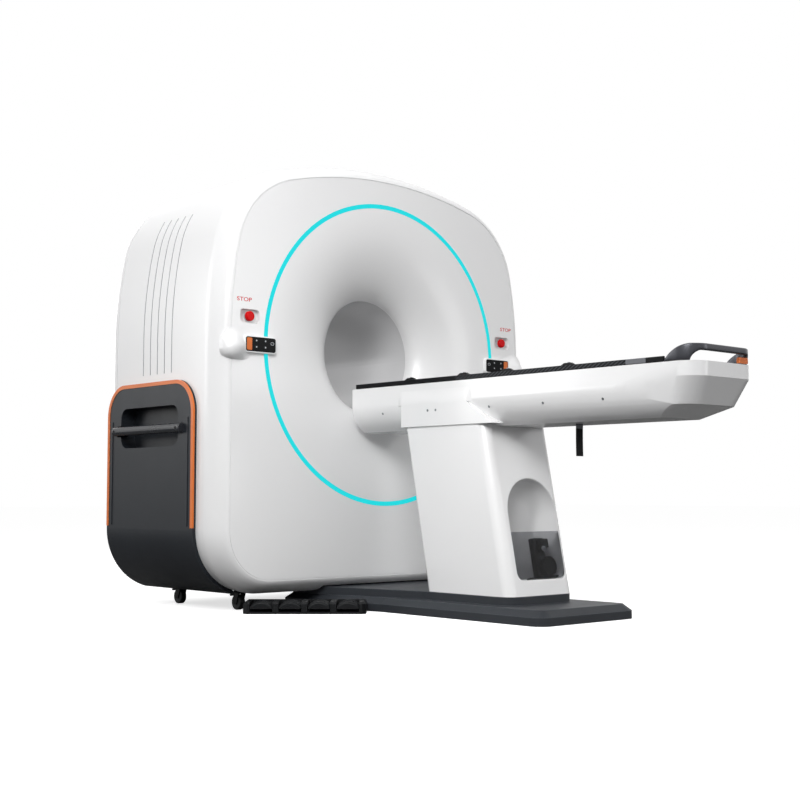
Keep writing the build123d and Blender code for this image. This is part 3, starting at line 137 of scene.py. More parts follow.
def stand(name: str, data: bpy.types.ID) -> Piece:
    """Put a new object with this mesh, lamp or camera into the scene."""
    made = bpy.data.objects.new(name, data)
    bpy.context.scene.collection.objects.link(made)
    return made


def per_metre(size_mm: float) -> float:
    """Noise scale for features of a size in millimetres."""
    return 1 / (size_mm * MM)


def smooth(share: np.ndarray) -> np.ndarray:
    """Run from 0 to 1 with no slope at either end: s² (3 - 2s), with s held between 0 and 1."""
    share = np.clip(share, 0, 1)
    return share ** 2 * (3 - 2 * share)


@dataclass(frozen=True)
class Finish:
    """A surface finish with slow colour drift, fine grain, uneven gloss and worn edges."""

    name: str
    colour: str
    drift: str
    roughness: float
    drift_mm: float = 260.0
    grain_mm: float = 4.0
    grain_depth_mm: float = 0.02
    gloss_spread: float = 0.05
    gloss_mm: float = 90.0
    metallic: float = 0.0
    coat: float = 0.0
    coat_roughness: float = 0.1
    edge: str = ""
    edge_mm: float = 2.0
    specular: float = 0.5
    least_roughness: float = 0.02
    rub_from: float = 0.995
    rub_to: float = 0.86
    rub_share: float = 0.7

    def cloud(self, tree: Tree, place: Socket, size_mm: float, cut: float, ends: Pair = (0.0, 1.0)) -> Socket:
        """Give soft patches.

        Args:
            tree: the material's tree.
            place: each point's place on the piece.
            size_mm: how wide a patch is.
            cut: the share of the noise's range that is cut off at each end.
            ends: the two values that the patches run between.

        Returns:
            The value at each point.
        """
        noise = add(tree, "TexNoise", {"Vector": place, "Scale": per_metre(size_mm), "Detail": 2.0})
        return add(tree, "MapRange", {
            "Value": noise, "From Min": cut, "From Max": 1 - cut, "To Min": ends[0], "To Max": ends[1],
        })

    def height(self, tree: Tree, place: Socket) -> Socket:
        """Give the surface's grain as a height from 0 to 1."""
        return add(tree, "TexNoise", {"Vector": place, "Scale": per_metre(self.grain_mm), "Detail": 3.0})

    def tint(self, tree: Tree, place: Socket) -> Socket:
        """Give the colour, which drifts slowly between the finish's two colours."""
        share = self.cloud(tree, place, self.drift_mm, 0.2)
        return add(tree, "Mix", {
            "Factor": share, "A": linear(self.colour), "B": linear(self.drift),
        }, data_type="RGBA")

    def gloss(self, tree: Tree, place: Socket) -> Socket:
        """Give a roughness that handling has made uneven over a hand's width."""
        low, high = self.roughness - self.gloss_spread, self.roughness + self.gloss_spread
        return self.cloud(tree, place, self.gloss_mm, 0.15, (max(low, self.least_roughness), high))

    def rub(self, tree: Tree, colour: Socket) -> Socket:
        """Lighten the edges by how far a bevelled normal leans from the true one, told by their cosine."""
        if not self.edge:
            return colour
        soft = add(tree, "Bevel", {"Radius": self.edge_mm * MM}, samples=4)
        true = add(tree, "NewGeometry", give="Normal")
        dot = add(tree, "VectorMath", {0: soft, 1: true}, operation="DOT_PRODUCT")
        share = add(tree, "MapRange", {
            "Value": dot, "From Min": self.rub_from, "From Max": self.rub_to, "To Max": self.rub_share,
        })
        return add(tree, "Mix", {"Factor": share, "A": colour, "B": linear(self.edge)}, data_type="RGBA")

    def polish(self, shader: bpy.types.Node) -> None:
        """Set what is the same all over the surface on the shader's own sockets."""
        for name, value in (
            ("Metallic", self.metallic), ("Coat Weight", self.coat),
            ("Coat Roughness", self.coat_roughness), ("Specular IOR Level", self.specular),
        ):
            shader.inputs[name].default_value = value

    def build(self) -> bpy.types.Material:
        """Make the material once, and give the same one after that.

        Returns:
            The Blender material.
        """
        found = bpy.data.materials.get(self.name)
        if found is not None:
            return found
        material = bpy.data.materials.new(self.name)
        tree = blank(material)
        place = add(tree, "TexCoord", give="Object")
        bump = add(tree, "Bump", {
            "Height": self.height(tree, place), "Distance": self.grain_depth_mm * MM, "Strength": 1.0,
        })
        shader = add(tree, "BsdfPrincipled", {
            "Base Color": self.rub(tree, self.tint(tree, place)),
            "Roughness": self.gloss(tree, place), "Normal": bump,
        })
        self.polish(shader.node)
        add(tree, "OutputMaterial", {"Surface": shader})
        return material


@dataclass(frozen=True)
class SprayedPanel(Finish):
    """Two-pack paint on a moulded panel: the spray leaves long, very low waves under a clear gloss."""

    drift_mm: float = 700.0
    grain_mm: float = 5.0
    grain_depth_mm: float = 0.004
    gloss_spread: float = 0.02
    gloss_mm: float = 320.0
    wave_mm: float = 70.0
    wave_share: float = 6.0

    def height(self, tree: Tree, place: Socket) -> Socket:
        """Add the panel's long waves to the fine peel of the spray."""
        peel = super().height(tree, place)
        wave = add(tree, "TexNoise", {"Vector": place, "Scale": per_metre(self.wave_mm), "Detail": 1.0})
        return add(tree, "Math", {0: wave, 1: self.wave_share, 2: peel}, operation="MULTIPLY_ADD")


@dataclass(frozen=True)
class FlutePaintedShadePanel(SprayedPanel):
    """The sprayed panel with painted shade in its flutes: its colour darkens where its own walls close in, in
    place of the shade that falls there.
    """

    shade: str = "#B6B7BA"
    shade_mm: float = 10.0
    open_sky: float = 0.97
    closed_in: float = 0.55

    def rub(self, tree: Tree, colour: Socket) -> Socket:
        """Paint shade into the colour where the panel's own walls close in within the shade's reach."""
        reach = self.shade_mm * MM
        # painted shade: the colour darkens by how much the panel's own walls close in, found by ambient
        # occlusion
        near = add(tree, "AmbientOcclusion", {"Distance": reach}, "AO", samples=8, only_local=True)
        share = add(tree, "MapRange", {
            "Value": near, "From Min": self.open_sky, "From Max": self.closed_in, "To Max": 1.0,
        })
        return add(tree, "Mix", {
            "Factor": share, "A": super().rub(tree, colour), "B": linear(self.shade),
        }, data_type="RGBA")


@dataclass(frozen=True)
class BrushedMetal(Finish):
    """Metal rubbed or turned along one axis: fine parallel scratches that stretch its highlights."""

    along: Triple = (1.0, 40.0, 40.0)

    def height(self, tree: Tree, place: Socket) -> Socket:
        """Stretch the grain along the rubbing direction."""
        return super().height(tree, add(tree, "Mapping", {"Vector": place, "Scale": self.along}))


@dataclass(frozen=True)
class Twill(Finish):
    """Carbon cloth in a 2/2 twill under clear resin: tows cross over two, under two, one step along a row."""

    tow_mm: float = 5.0

    def cell(self, tree: Tree, value: Socket) -> Socket:
        """Number the tow at a place along one axis: the whole part of place over tow width."""
        scaled = add(tree, "Math", {0: value, 1: per_metre(self.tow_mm)}, operation="MULTIPLY")
        return add(tree, "Math", {0: scaled}, operation="FLOOR")

    def tint(self, tree: Tree, place: Socket) -> Socket:
        """Show the lengthwise tow where (i + j) modulo 4 is under 2, and elsewhere the crosswise one."""
        axes = add(tree, "SeparateXYZ", {"Vector": place}).node.outputs
        row, column = self.cell(tree, axes["X"]), self.cell(tree, axes["Y"])
        total = add(tree, "Math", {0: row, 1: column}, operation="ADD")
        step = add(tree, "Math", {0: total, 1: 4.0}, operation="FLOORED_MODULO")
        over = add(tree, "Math", {0: step, 1: 2.0}, operation="LESS_THAN")
        return add(tree, "Mix", {
            "Factor": over, "A": linear(self.colour), "B": linear(self.drift),
        }, data_type="RGBA")


@dataclass(frozen=True)
class TableRail(Finish):
    """Extruded rail, black anodised, with a dashed woven inlay and a bare length near the handle."""

    inlay_near: float = -0.553
    inlay_far: float = -1.304
    bare_far: float = -1.381
    bare: str = "#6F7175"
    dash: str = "#3F4246"
    dash_share: float = 0.4
    pitch_mm: float = 18.0
    slant: float = 1.6

    def between(self, tree: Tree, value: Socket, low: float, high: float) -> Socket:
        """Give 1 where a value lies between two limits."""
        over = add(tree, "Math", {0: value, 1: low}, operation="GREATER_THAN")
        under = add(tree, "Math", {0: value, 1: high}, operation="LESS_THAN")
        return add(tree, "Math", {0: over, 1: under}, operation="MULTIPLY")

    def tint(self, tree: Tree, place: Socket) -> Socket:
        """Paint slanted dashes where y lies in the inlay, and the bare length beyond it."""
        axes = add(tree, "SeparateXYZ", {"Vector": place}).node.outputs
        slanted = add(tree, "Math", {0: axes["Z"], 1: self.slant, 2: axes["Y"]}, operation="MULTIPLY_ADD")
        pitch = add(tree, "Math", {0: slanted, 1: per_metre(self.pitch_mm)}, operation="MULTIPLY")
        part = add(tree, "Math", {0: pitch}, operation="FRACT")
        dash = add(tree, "Math", {0: part, 1: self.dash_share}, operation="LESS_THAN")
        inlay = self.between(tree, axes["Y"], self.inlay_far, self.inlay_near)
        dashed = add(tree, "Math", {0: inlay, 1: dash}, operation="MULTIPLY")
        end = self.between(tree, axes["Y"], self.bare_far, self.inlay_far)
        colour = super().tint(tree, place)
        for share, other in ((dashed, self.dash), (end, self.bare)):
            colour = add(tree, "Mix", {"Factor": share, "A": colour, "B": linear(other)}, data_type="RGBA")
        return colour


@dataclass(frozen=True)
class Webbing(Finish):
    """Woven nylon strap: rows of yarn nearly 4 mm apart across it, with a slanted twill line."""

    slant: float = 0.32
    wander: float = 0.6

    def height(self, tree: Tree, place: Socket) -> Socket:
        """Raise a band for each yarn: the bands run across the strap, slanted by a third."""
        turned = add(tree, "Mapping", {"Vector": place, "Rotation": (0.0, self.slant, 0.0)})
        return add(tree, "TexWave", {
            "Vector": turned, "Scale": per_metre(2 * math.tau), "Distortion": self.wander,
        }, "Fac", bands_direction="Z")


@dataclass(frozen=True)
class OpalLight(Finish):
    """Opal acrylic over a row of diodes: an even glow over a dark reflector."""

    light: str = "#23E2E8"
    glow: float = 0.86

    def polish(self, shader: bpy.types.Node) -> None:
        """Let the acrylic glow in its own colour."""
        super().polish(shader)
        shader.inputs["Emission Color"].default_value = linear(self.light)
        shader.inputs["Emission Strength"].default_value = self.glow


@dataclass(frozen=True)
class SmokedSheet(Finish):
    """Smoked polycarbonate: clear grey sheet with a polished face."""

    bend: float = 1.2

    def polish(self, shader: bpy.types.Node) -> None:
        """Let light through the sheet."""
        super().polish(shader)
        shader.inputs["Transmission Weight"].default_value = 1.0
        shader.inputs["IOR"].default_value = self.bend


# Gel-smooth polyurethane paint: soft broad highlights, clean white, a touch greyer in large patches.
COVER = SprayedPanel("sprayed_polyurethane_cover", "#ECECEC", "#E9E9EA", 0.32, coat=0.3)
# The wrap cover carries painted shade in its flutes: its colour darkens where the cover's own walls close in.
FLUTE_PAINTED_SHADE_COVER = FlutePaintedShadePanel("sprayed_cover_with_painted_flute_shade", "#ECECEC", "#E9E9EA", 0.32, coat=0.3)
HULL = SprayedPanel("sprayed_polyurethane_hull", "#EEEEEE", "#EBEBEC", 0.26, coat=0.4)
PEDESTAL = SprayedPanel("sprayed_polyurethane_pedestal", "#F0F0F0", "#EDEDEE", 0.26, coat=0.4)
# Gloss polyester liner of the bore, a little greyer than the covers.
BORE = Finish("gloss_polyester_liner", "#D2D2D3", "#CDCDCE", 0.25, 500, 3, 0.004, 0.03, coat=0.3)
# Opal acrylic diffuser, lit cyan.
RING = OpalLight("lit_opal_acrylic", "#0E4448", "#104E52", 0.55, 60, 4, 0.004, specular=0.06)
# Spark-eroded ABS: near black with a cool tone and a fine dull grain, paler where edges are rubbed.
PANEL = Finish("grained_abs_panel", "#22262B", "#1D2025", 0.4, 240, 3, 0.02, edge="#373B41", edge_mm=2.5,
               specular=0.3)
# Satin orange paint on an extruded edging strip.
TRIM = Finish("satin_painted_edging", "#E0742F", "#D66B27", 0.38, 120, 3, 0.008, edge="#E8955A", edge_mm=1.2)
# Glass-filled nylon grip: dark grey, slightly polished by hands.
GRIP = Finish("glass_filled_nylon_grip", "#2B2D32", "#24262A", 0.28, 60, 2, 0.01, coat=0.1, edge="#45484D",
              specular=0.4)
# Moulded ABS, black with a dull sheen.
PLASTIC = Finish("moulded_black_abs", "#101113", "#151618", 0.42, 40, 2, 0.015, edge="#2B2D30", edge_mm=1,
                 specular=0.18)
# Back-printed polyester film: deep gloss black.
FILM = Finish("gloss_polyester_film", "#0B0B0D", "#0F1012", 0.32, 50, 3, 0.003, specular=0.08)
# Silicone rubber keys, dull orange.
KEY = Finish("silicone_key_orange", "#D8743A", "#D06C34", 0.5, 20, 1.5, 0.01, edge="#EC9C66", edge_mm=0.8,
             specular=0.3)
# Glossy moulded nylon, signal red.
STOP = Finish("moulded_nylon_red", "#D20A10", "#C8080E", 0.34, 20, 1.5, 0.004, specular=0.12)
# Inside the covers: powder coat, ground steel, cast alloy, turned copper, belt rubber and motor enamel.
FRAME = Finish("welded_steel_powder_coat", "#8A8E93", "#7E8287", 0.55, 180, 3, 0.06, edge="#A9ADB1")
BEARING = BrushedMetal("ground_bearing_steel", "#B9BCC0", "#A8ABB0", 0.22, 80, 2, 0.01, metallic=1.0)
ALLOY = Finish("cast_aluminium_alloy", "#A7A9AB", "#97999C", 0.5, 90, 2.5, 0.12, metallic=0.9, edge="#C6C8CA")
HOUSING = Finish("powder_coated_housing", "#C4C7CA", "#B8BBBF", 0.5, 120, 2, 0.05, edge="#D8DADC")
COPPER = BrushedMetal("turned_copper_tracks", "#B87342", "#9E6238", 0.28, 60, 2, 0.01, metallic=1.0)
RUBBER = Finish("ribbed_belt_rubber", "#1A1A1B", "#242425", 0.75, 60, 2, 0.05)
MOTOR = Finish("cast_iron_motor_enamel", "#3E5470", "#364A64", 0.4, 90, 3, 0.08, edge="#6B7F99")
COLUMN = BrushedMetal("plated_column_steel", "#AEB1B5", "#9FA2A6", 0.3, 120, 2, 0.01, metallic=1.0,
                      along=(40, 40, 1))
# Casters: gloss black enamel and dull polyurethane.
FORK = Finish("enamelled_caster_fork", "#0E0F11", "#131416", 0.24, 30, 2, 0.01, coat=0.2, edge="#303236",
              edge_mm=1, specular=0.3)
TYRE = Finish("polyurethane_tyre", "#17181A", "#1E1F21", 0.45, 30, 2, 0.04, specular=0.3)
# Epoxy powder coat on a steel casting: a pebbled dark grey, lighter along its rubbed rim.
CASTING = Finish("pebbled_powder_coat", "#34373C", "#2F3236", 0.48, 200, 4, 0.03, edge="#5A5E63", edge_mm=4,
                 specular=0.22)
# Pale moulded ABS behind a smoked polycarbonate window.
POCKET = Finish("moulded_pocket_abs", "#E6E6E6", "#DFDFE0", 0.45, 200, 3, 0.01)
WINDOW = SmokedSheet("smoked_polycarbonate", "#B0B1B4", "#ACADB0", 0.05, 120, 4, 0.002, 0.02)
# Table: rubbed aluminium deck, carbon board in clear resin, black anodised rails.
DECK = BrushedMetal("anodised_deck_plate", "#A2A5A9", "#999CA0", 0.36, 150, 2, 0.01, metallic=0.9,
                    along=(40, 1, 40))
BOARD = Twill("carbon_twill_in_resin", "#101112", "#1E2022", 0.3, 200, 3, 0.01, coat=0.2, specular=0.2)
RAIL = TableRail("anodised_rail_with_inlay", "#0C0D0F", "#101113", 0.4, 60, 2, 0.006, specular=0.12)
# Metallic lacquer on the moulded push handle: warm gunmetal with a satin sheen.
LOOP = Finish("metallic_lacquer_handle", "#47484D", "#414247", 0.3, 120, 2, 0.005, metallic=0.5, coat=0.1,
              specular=0.3)
# Nylon yarn and rubber: black, with little shine.
STRAP = Webbing("woven_nylon_webbing", "#121314", "#1A1B1D", 0.8, 20, 2, 0.25, specular=0.2)
PEDAL = Finish("moulded_pedal_rubber", "#131416", "#18191B", 0.5, 40, 2, 0.03, edge="#3A3D41", edge_mm=1.5,
               specular=0.14)
# Small fittings: bright zinc, baked inks, grey cloth and grey ABS.
SCREW = BrushedMetal("zinc_plated_screw", "#8E9196", "#7F8287", 0.3, 10, 1, 0.004, metallic=1.0)
INK = Finish("baked_legend_ink", "#D3141A", "#CB1117", 0.5, 10, 1, 0.002, specular=0.2)
PALE_INK = Finish("pale_legend_ink", "#C9CCD1", "#BFC2C7", 0.5, 10, 1, 0.002, specular=0.2)
TAG = Finish("woven_grey_tag", "#7D8085", "#6F7277", 0.8, 6, 1, 0.05)
KNOB = Finish("moulded_grey_knob", "#B4B7BB", "#A9ACB0", 0.4, 20, 1, 0.005)


@dataclass(frozen=True)
class Face:
    """A flat place on the scanner: its middle and two directions in it, with out as their cross product."""

    middle: Triple
    right: Triple
    up: Triple

    def lift(self, plan: np.ndarray, height: np.ndarray) -> np.ndarray:
        """Carry plan points and heights into space: middle + x right + y up + h out.

        Args:
            plan: points in the face, with x and y last.
            height: how far each stands out of the face.

        Returns:
            The points, with x, y and z last.
        """
        right, up = np.array(self.right, float), np.array(self.up, float)
        out = np.cross(right, up)
        return np.array(self.middle) + plan[..., :1] * right + plan[..., 1:] * up + height[..., None] * out

    def shift(self, x: float, y: float, height: float) -> "Face":
        """The same face with its middle moved to a plan point and out of the face."""
        return Face(tuple(self.lift(np.array((x, y)), np.array(height))), self.right, self.up)


def front_face(middle: Triple) -> Face:
    """A face that looks towards the table's end."""
    return Face(middle, (1.0, 0.0, 0.0), (0.0, 0.0, 1.0))


def outline(width: float, height: float, corner: float, count: int = 40) -> np.ndarray:
    """Plan of a rounded rectangle: x = sign(cos t) (w / 2 - r) + r cos t, and y likewise with sin t.

    Args:
        width: its whole width.
        height: its whole height.
        corner: its corner radius, cut down to half the smaller side.
        count: how many points go round it.

    Returns:
        An array of count points, with x and y last.
    """
    turn = (np.arange(count) + 0.5) * math.tau / count
    radius = min(corner, width / 2, height / 2)
    x = np.sign(np.cos(turn)) * (width / 2 - radius) + radius * np.cos(turn)
    y = np.sign(np.sin(turn)) * (height / 2 - radius) + radius * np.sin(turn)
    return np.stack((x, y), -1)


def disc(radius: float) -> Triple:
    """Size of a round plan: its width, height and corner radius."""
    return 2 * radius, 2 * radius, radius


def raised(face: Face, size: Triple, steps: Steps, count: int = 40) -> np.ndarray:
    """Rings of a pad on a face: at each step the plan is drawn in by an inset and stands at a height.

    Args:
        face: where the pad stands.
        size: the plan's width, height and corner radius in millimetres.
        steps: pairs of inset and height in millimetres, from the root to the top.
        count: how many points go round each ring.

    Returns:
        An array of rings in metres.
    """
    width, height, corner = size
    least = 0.05
    plans, heights = [], []
    for inset, level in steps:
        sides = max(width - 2 * inset, least), max(height - 2 * inset, least)
        plans.append(outline(*sides, max(corner - inset, least / 2), count))
        heights.append(np.full(count, level))
    return face.lift(np.stack(plans) * MM, np.stack(heights) * MM)


def tube(path: np.ndarray, radius: float, side: Triple, count: int = 8) -> np.ndarray:
    """Rings round a path: p + r (cos t · side + sin t · (side × tangent)).

    Args:
        path: points along the middle.
        radius: the tube's radius.
        side: a direction square to the whole path.
        count: how many points go round each ring.

    Returns:
        An array of rings.
    """
    tangent = np.gradient(path, axis=0)
    tangent /= np.linalg.norm(tangent, axis=1, keepdims=True)
    across = np.array(side, float)
    other = np.cross(across, tangent)
    turn = np.arange(count) * math.tau / count
    ring = np.cos(turn)[None, :, None] * across + np.sin(turn)[None, :, None] * other[:, None, :]
    return path[:, None, :] + radius * ring


def skin(name: str, patches: list[np.ndarray], sharp: float = 40.0, endless: bool = False) -> Piece:
    """One mesh over stacks of rings: quads join neighbouring rings, and fans close both ends at their mean.

    Args:
        name: the piece's name.
        patches: arrays of rings, each rows by count by 3.
        sharp: the angle in degrees past which an edge shows sharp.
        endless: whether the last ring of each patch joins its first, as on the wall of a tube.

    Returns:
        The new object, with outward faces.
    """
    points, faces, start = [], [], 0
    for rings in patches:
        rows, count = rings.shape[:2]
        ids = start + np.arange(rows * count).reshape(rows, count)
        if endless:
            ids = np.concatenate((ids, ids[:1]))
        after = np.roll(ids, -1, axis=1)
        faces += np.stack((ids[:-1], after[:-1], after[1:], ids[1:]), -1).reshape(-1, 4).tolist()
        points.append(rings.reshape(-1, 3))
        start += rows * count
        if not endless:
            faces += np.stack((np.full(count, start), after[0], ids[0]), -1).tolist()
            faces += np.stack((np.full(count, start + 1), ids[-1], after[-1]), -1).tolist()
            points += [rings[0].mean(0)[None], rings[-1].mean(0)[None]]
            start += 2
    mesh = bpy.data.meshes.new(name)
    mesh.from_pydata(np.concatenate(points).tolist(), [], faces)
    shape = bmesh.new()
    shape.from_mesh(mesh)
    bmesh.ops.recalc_face_normals(shape, faces=shape.faces[:])
    shape.to_mesh(mesh)
    shape.free()
    mesh.shade_smooth()
    mesh.set_sharp_from_angle(angle=math.radians(sharp))
    return stand(name, mesh)


def carve(piece: Piece, tool: Piece) -> None:
    """Cut one closed mesh out of another, and drop the tool.

    Args:
        piece: what is cut.
        tool: the closed shape that is taken away.
    """
    cut = piece.modifiers.new("cut", "BOOLEAN")
    cut.operation = "DIFFERENCE"
    cut.solver = "EXACT"
    cut.object = tool
    bpy.context.view_layer.update()
    mesh = bpy.data.meshes.new_from_object(piece.evaluated_get(bpy.context.evaluated_depsgraph_get()))
    piece.modifiers.clear()
    piece.data = mesh
    bpy.data.objects.remove(tool)


def crisp(piece: Piece, sharp: float) -> None:
    """Shade a piece smooth but for its creases, with normals weighted by area so that flats stay flat.

    Args:
        piece: what is shaded.
        sharp: the angle in degrees past which an edge is a crease.
    """
    piece.data.shade_smooth()
    piece.data.set_sharp_from_angle(angle=math.radians(sharp))
    piece.modifiers.new("shading", "WEIGHTED_NORMAL").keep_sharp = True


def touch(node: str, start: Triple, towards: Triple) -> Face:
    """Find where a line meets a CAD node, as a face that looks out of it.

    Args:
        node: the node's name.
        start: a point outside it.
        towards: the line's direction.

    Returns:
        The face there: right is level, and up is square to it.
    """
    hit, place, normal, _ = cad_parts[node].ray_cast(Vector(start), Vector(towards).normalized())
    if not hit:
        raise ValueError(f"nothing of {node} lies along that line")
    if normal.dot(Vector(towards)) > 0:
        normal = -normal
    right = Vector((0, 0, 1)).cross(normal).normalized()
    return Face(tuple(place), tuple(right), tuple(normal.cross(right)))


@dataclass(frozen=True)
class PedestalPlan:
    """The pedestal's leaning prism: crisp corners that grow broad where its top end slides in the hull."""

    half: float = 163 * MM
    front: float = -808 * MM
    depth: float = 403 * MM
    foot: float = 78 * MM
    top: float = 690 * MM
    lean: float = 0.2012
    front_corner: float = 38 * MM
    rear_corner: float = 20 * MM
    top_corner: float = 72 * MM
    taper: float = 660 * MM
    wall: float = 5 * MM
    corner_points: int = 13

    def rings(self, grow: float, heights: Row, lowered: float = 0.0) -> np.ndarray:
        """Level rings at the given heights, each moved back by lean times its height over the foot.

        Each corner is x = sign(cos t) (half - r) + r cos t, and y likewise, with exact quarter turns,
        and its radius r grows evenly to the top corner's from the taper's height up.

        Args:
            grow: how far they stand outside the cover.
            heights: the rings' heights.
            lowered: how far the hull that the rings belong to can come down over the cover.

        Returns:
            An array of rings.
        """
        quarter = np.linspace(0, math.pi / 2, self.corner_points)
        turn = np.concatenate([quarter + number * math.pi / 2 for number in range(4)])
        side = np.repeat([1, -1, -1, 1], self.corner_points)
        end = np.repeat([1, 1, -1, -1], self.corner_points)
        z = np.array(heights)[:, None] + 0 * turn
        share = np.clip((z - lowered - self.taper) / (self.top - self.taper), 0, 1)
        crisp_corner = np.where(end < 0, self.front_corner, self.rear_corner)
        radius = crisp_corner + share * (self.top_corner - crisp_corner) + grow
        x = side * (self.half + grow - radius) + radius * np.cos(turn)
        y = self.front + self.depth / 2 + end * (self.depth / 2 + grow - radius) + radius * np.sin(turn)
        return np.stack((x, y + self.lean * (z - self.foot), z), -1)


PLINTH = PedestalPlan()


@dataclass
class Assembly:
    """Part of the scanner: it dresses its CAD nodes and adds its small pieces."""

    def dress(self, finish: Finish, *nodes: str) -> None:
        """Give CAD nodes their finish."""
        for name in nodes:
            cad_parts[name].material_slots[0].material = finish.build()
            LOG.info("dressed %s in %s", name, finish.name)

    def keep(self, piece: Piece, finish: Finish, body: Body, slot: str) -> Piece:
        """Finish a new piece and let it ride on its body.

        Args:
            piece: the new object.
            finish: its finish.
            body: what it moves with.
            slot: the record's slot that its finish belongs to; not used.

        Returns:
            The same piece.
        """
        piece.data.materials.clear()
        piece.data.materials.append(finish.build())
        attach(piece, body.value)
        LOG.info("made %s in %s", piece.name, finish.name)
        return piece

    def build(self) -> None:
        """Make and dress everything in this part."""
        raise NotImplementedError


@dataclass(frozen=True)
class Screw:
    """Countersunk screw head: a low dome with a round socket, in millimetres."""

    radius: float = 4.5
    rise: float = 1.1
    socket: float = 2.2

    def rings(self, face: Face) -> np.ndarray:
        """Rings of one head: out over the dome, then down into its socket."""
        rise, inner = self.rise, self.radius - self.socket
        steps = ((0, -0.5), (0, 0.4 * rise), (0.25 * self.radius, rise), (inner, rise), (inner, 0.1 * rise))
        return raised(face, disc(self.radius), steps, 24)


@dataclass
class Shells(Assembly):
    """Gantry covers, bore, light ring and the fittings on them."""

    word_width: float = 64 * MM
    word_squash: float = 0.74
    word_x: float = 674.5 * MM
    word_z: float = 1110 * MM
    word_bolder: float = 0.010
    ink_depth: float = 0.25 * MM
    rear_screw: Screw = Screw(6, 1.6, 3)
    rear_places: tuple[Pair, ...] = ((0.66, 0.25), (0.66, 0.62), (0.66, 0.99), (0.60, 1.32), (0.30, 1.56))

    def word(self, side: Side) -> Piece:
        """Print the plain word over one stop button, made a mesh before its place is applied."""
        text = bpy.data.curves.new("stop_word", "FONT")
        text.body = "STOP"
        text.extrude = self.ink_depth
        text.offset = self.word_bolder
        holder = bpy.data.objects.new("stop_word", text)
        mesh = bpy.data.meshes.new_from_object(holder)
        bpy.data.objects.remove(holder)
        flat = np.empty(len(mesh.vertices) * 3, np.float32)
        mesh.vertices.foreach_get("co", flat)
        points = flat.reshape(-1, 3)
        low, high = points.min(0), points.max(0)
        foot = np.array(((low[0] + high[0]) / 2, low[1]))
        plan = (points[:, :2] - foot) * self.word_width / (high[0] - low[0]) * (1, self.word_squash)
        face = front_face((side.value * self.word_x, 0.0, self.word_z))
        mesh.vertices.foreach_set("co", face.lift(plan, points[:, 2]).astype(np.float32).ravel())
        mesh.update()
        return stand(f"stop_word_{side.name.lower()}", mesh)

    def build(self) -> None:
        """Dress the covers and add words and rear screws."""
        self.dress(COVER, "front_cover", "rear_cover")
        # The wrap cover's finish paints shade into its flutes.
        self.dress(FLUTE_PAINTED_SHADE_COVER, "wrap_cover")
        self.dress(BORE, "bore_liner")
        self.dress(RING, "light_ring")
        for side in Side:
            self.keep(self.word(side), INK, Body.GANTRY, "stop_red")
        heads = [
            self.rear_screw.rings(touch("rear_cover", (side.value * x, 1.0, z), (0, -1, 0)))
            for side in Side for x, z in self.rear_places
        ]
        self.keep(skin("rear_cover_screws", heads), SCREW, Body.GANTRY, "frame_steel")


@dataclass
class SidePanels(Assembly):
    """Dark side panels with orange edging and carrying handles."""

    handle_ends: Pair = (0.222, 0.655)
    handle_z: float = 0.661
    shade_disc_size: Triple = disc(5.5)
    shade_disc_steps: Steps = ((0, -0.5), (0, 0.5), (0.8, 0.9), (2, 0.5))

    def build(self) -> None:
        """Dress both panels and add black discs at the ends of their handles, whose black is painted shade
        for the keyholes' recesses.
        """
        self.dress(PANEL, "side_panel_left", "side_panel_right")
        self.dress(TRIM, "panel_trims")
        self.dress(GRIP, "carry_handles")
        faces = [
            touch("carry_handles", (side.value, y, self.handle_z), (-side.value, 0, 0))
            for side in Side for y in self.handle_ends
        ]
        # Raised discs in gloss black film: their black is painted shade standing in for the dark inside each
        # keyhole.
        shade_discs = [raised(face, self.shade_disc_size, self.shade_disc_steps, 24) for face in faces]
        self.keep(skin("handle_keyhole_shade_discs", shade_discs), FILM, Body.GANTRY, "black_plastic")


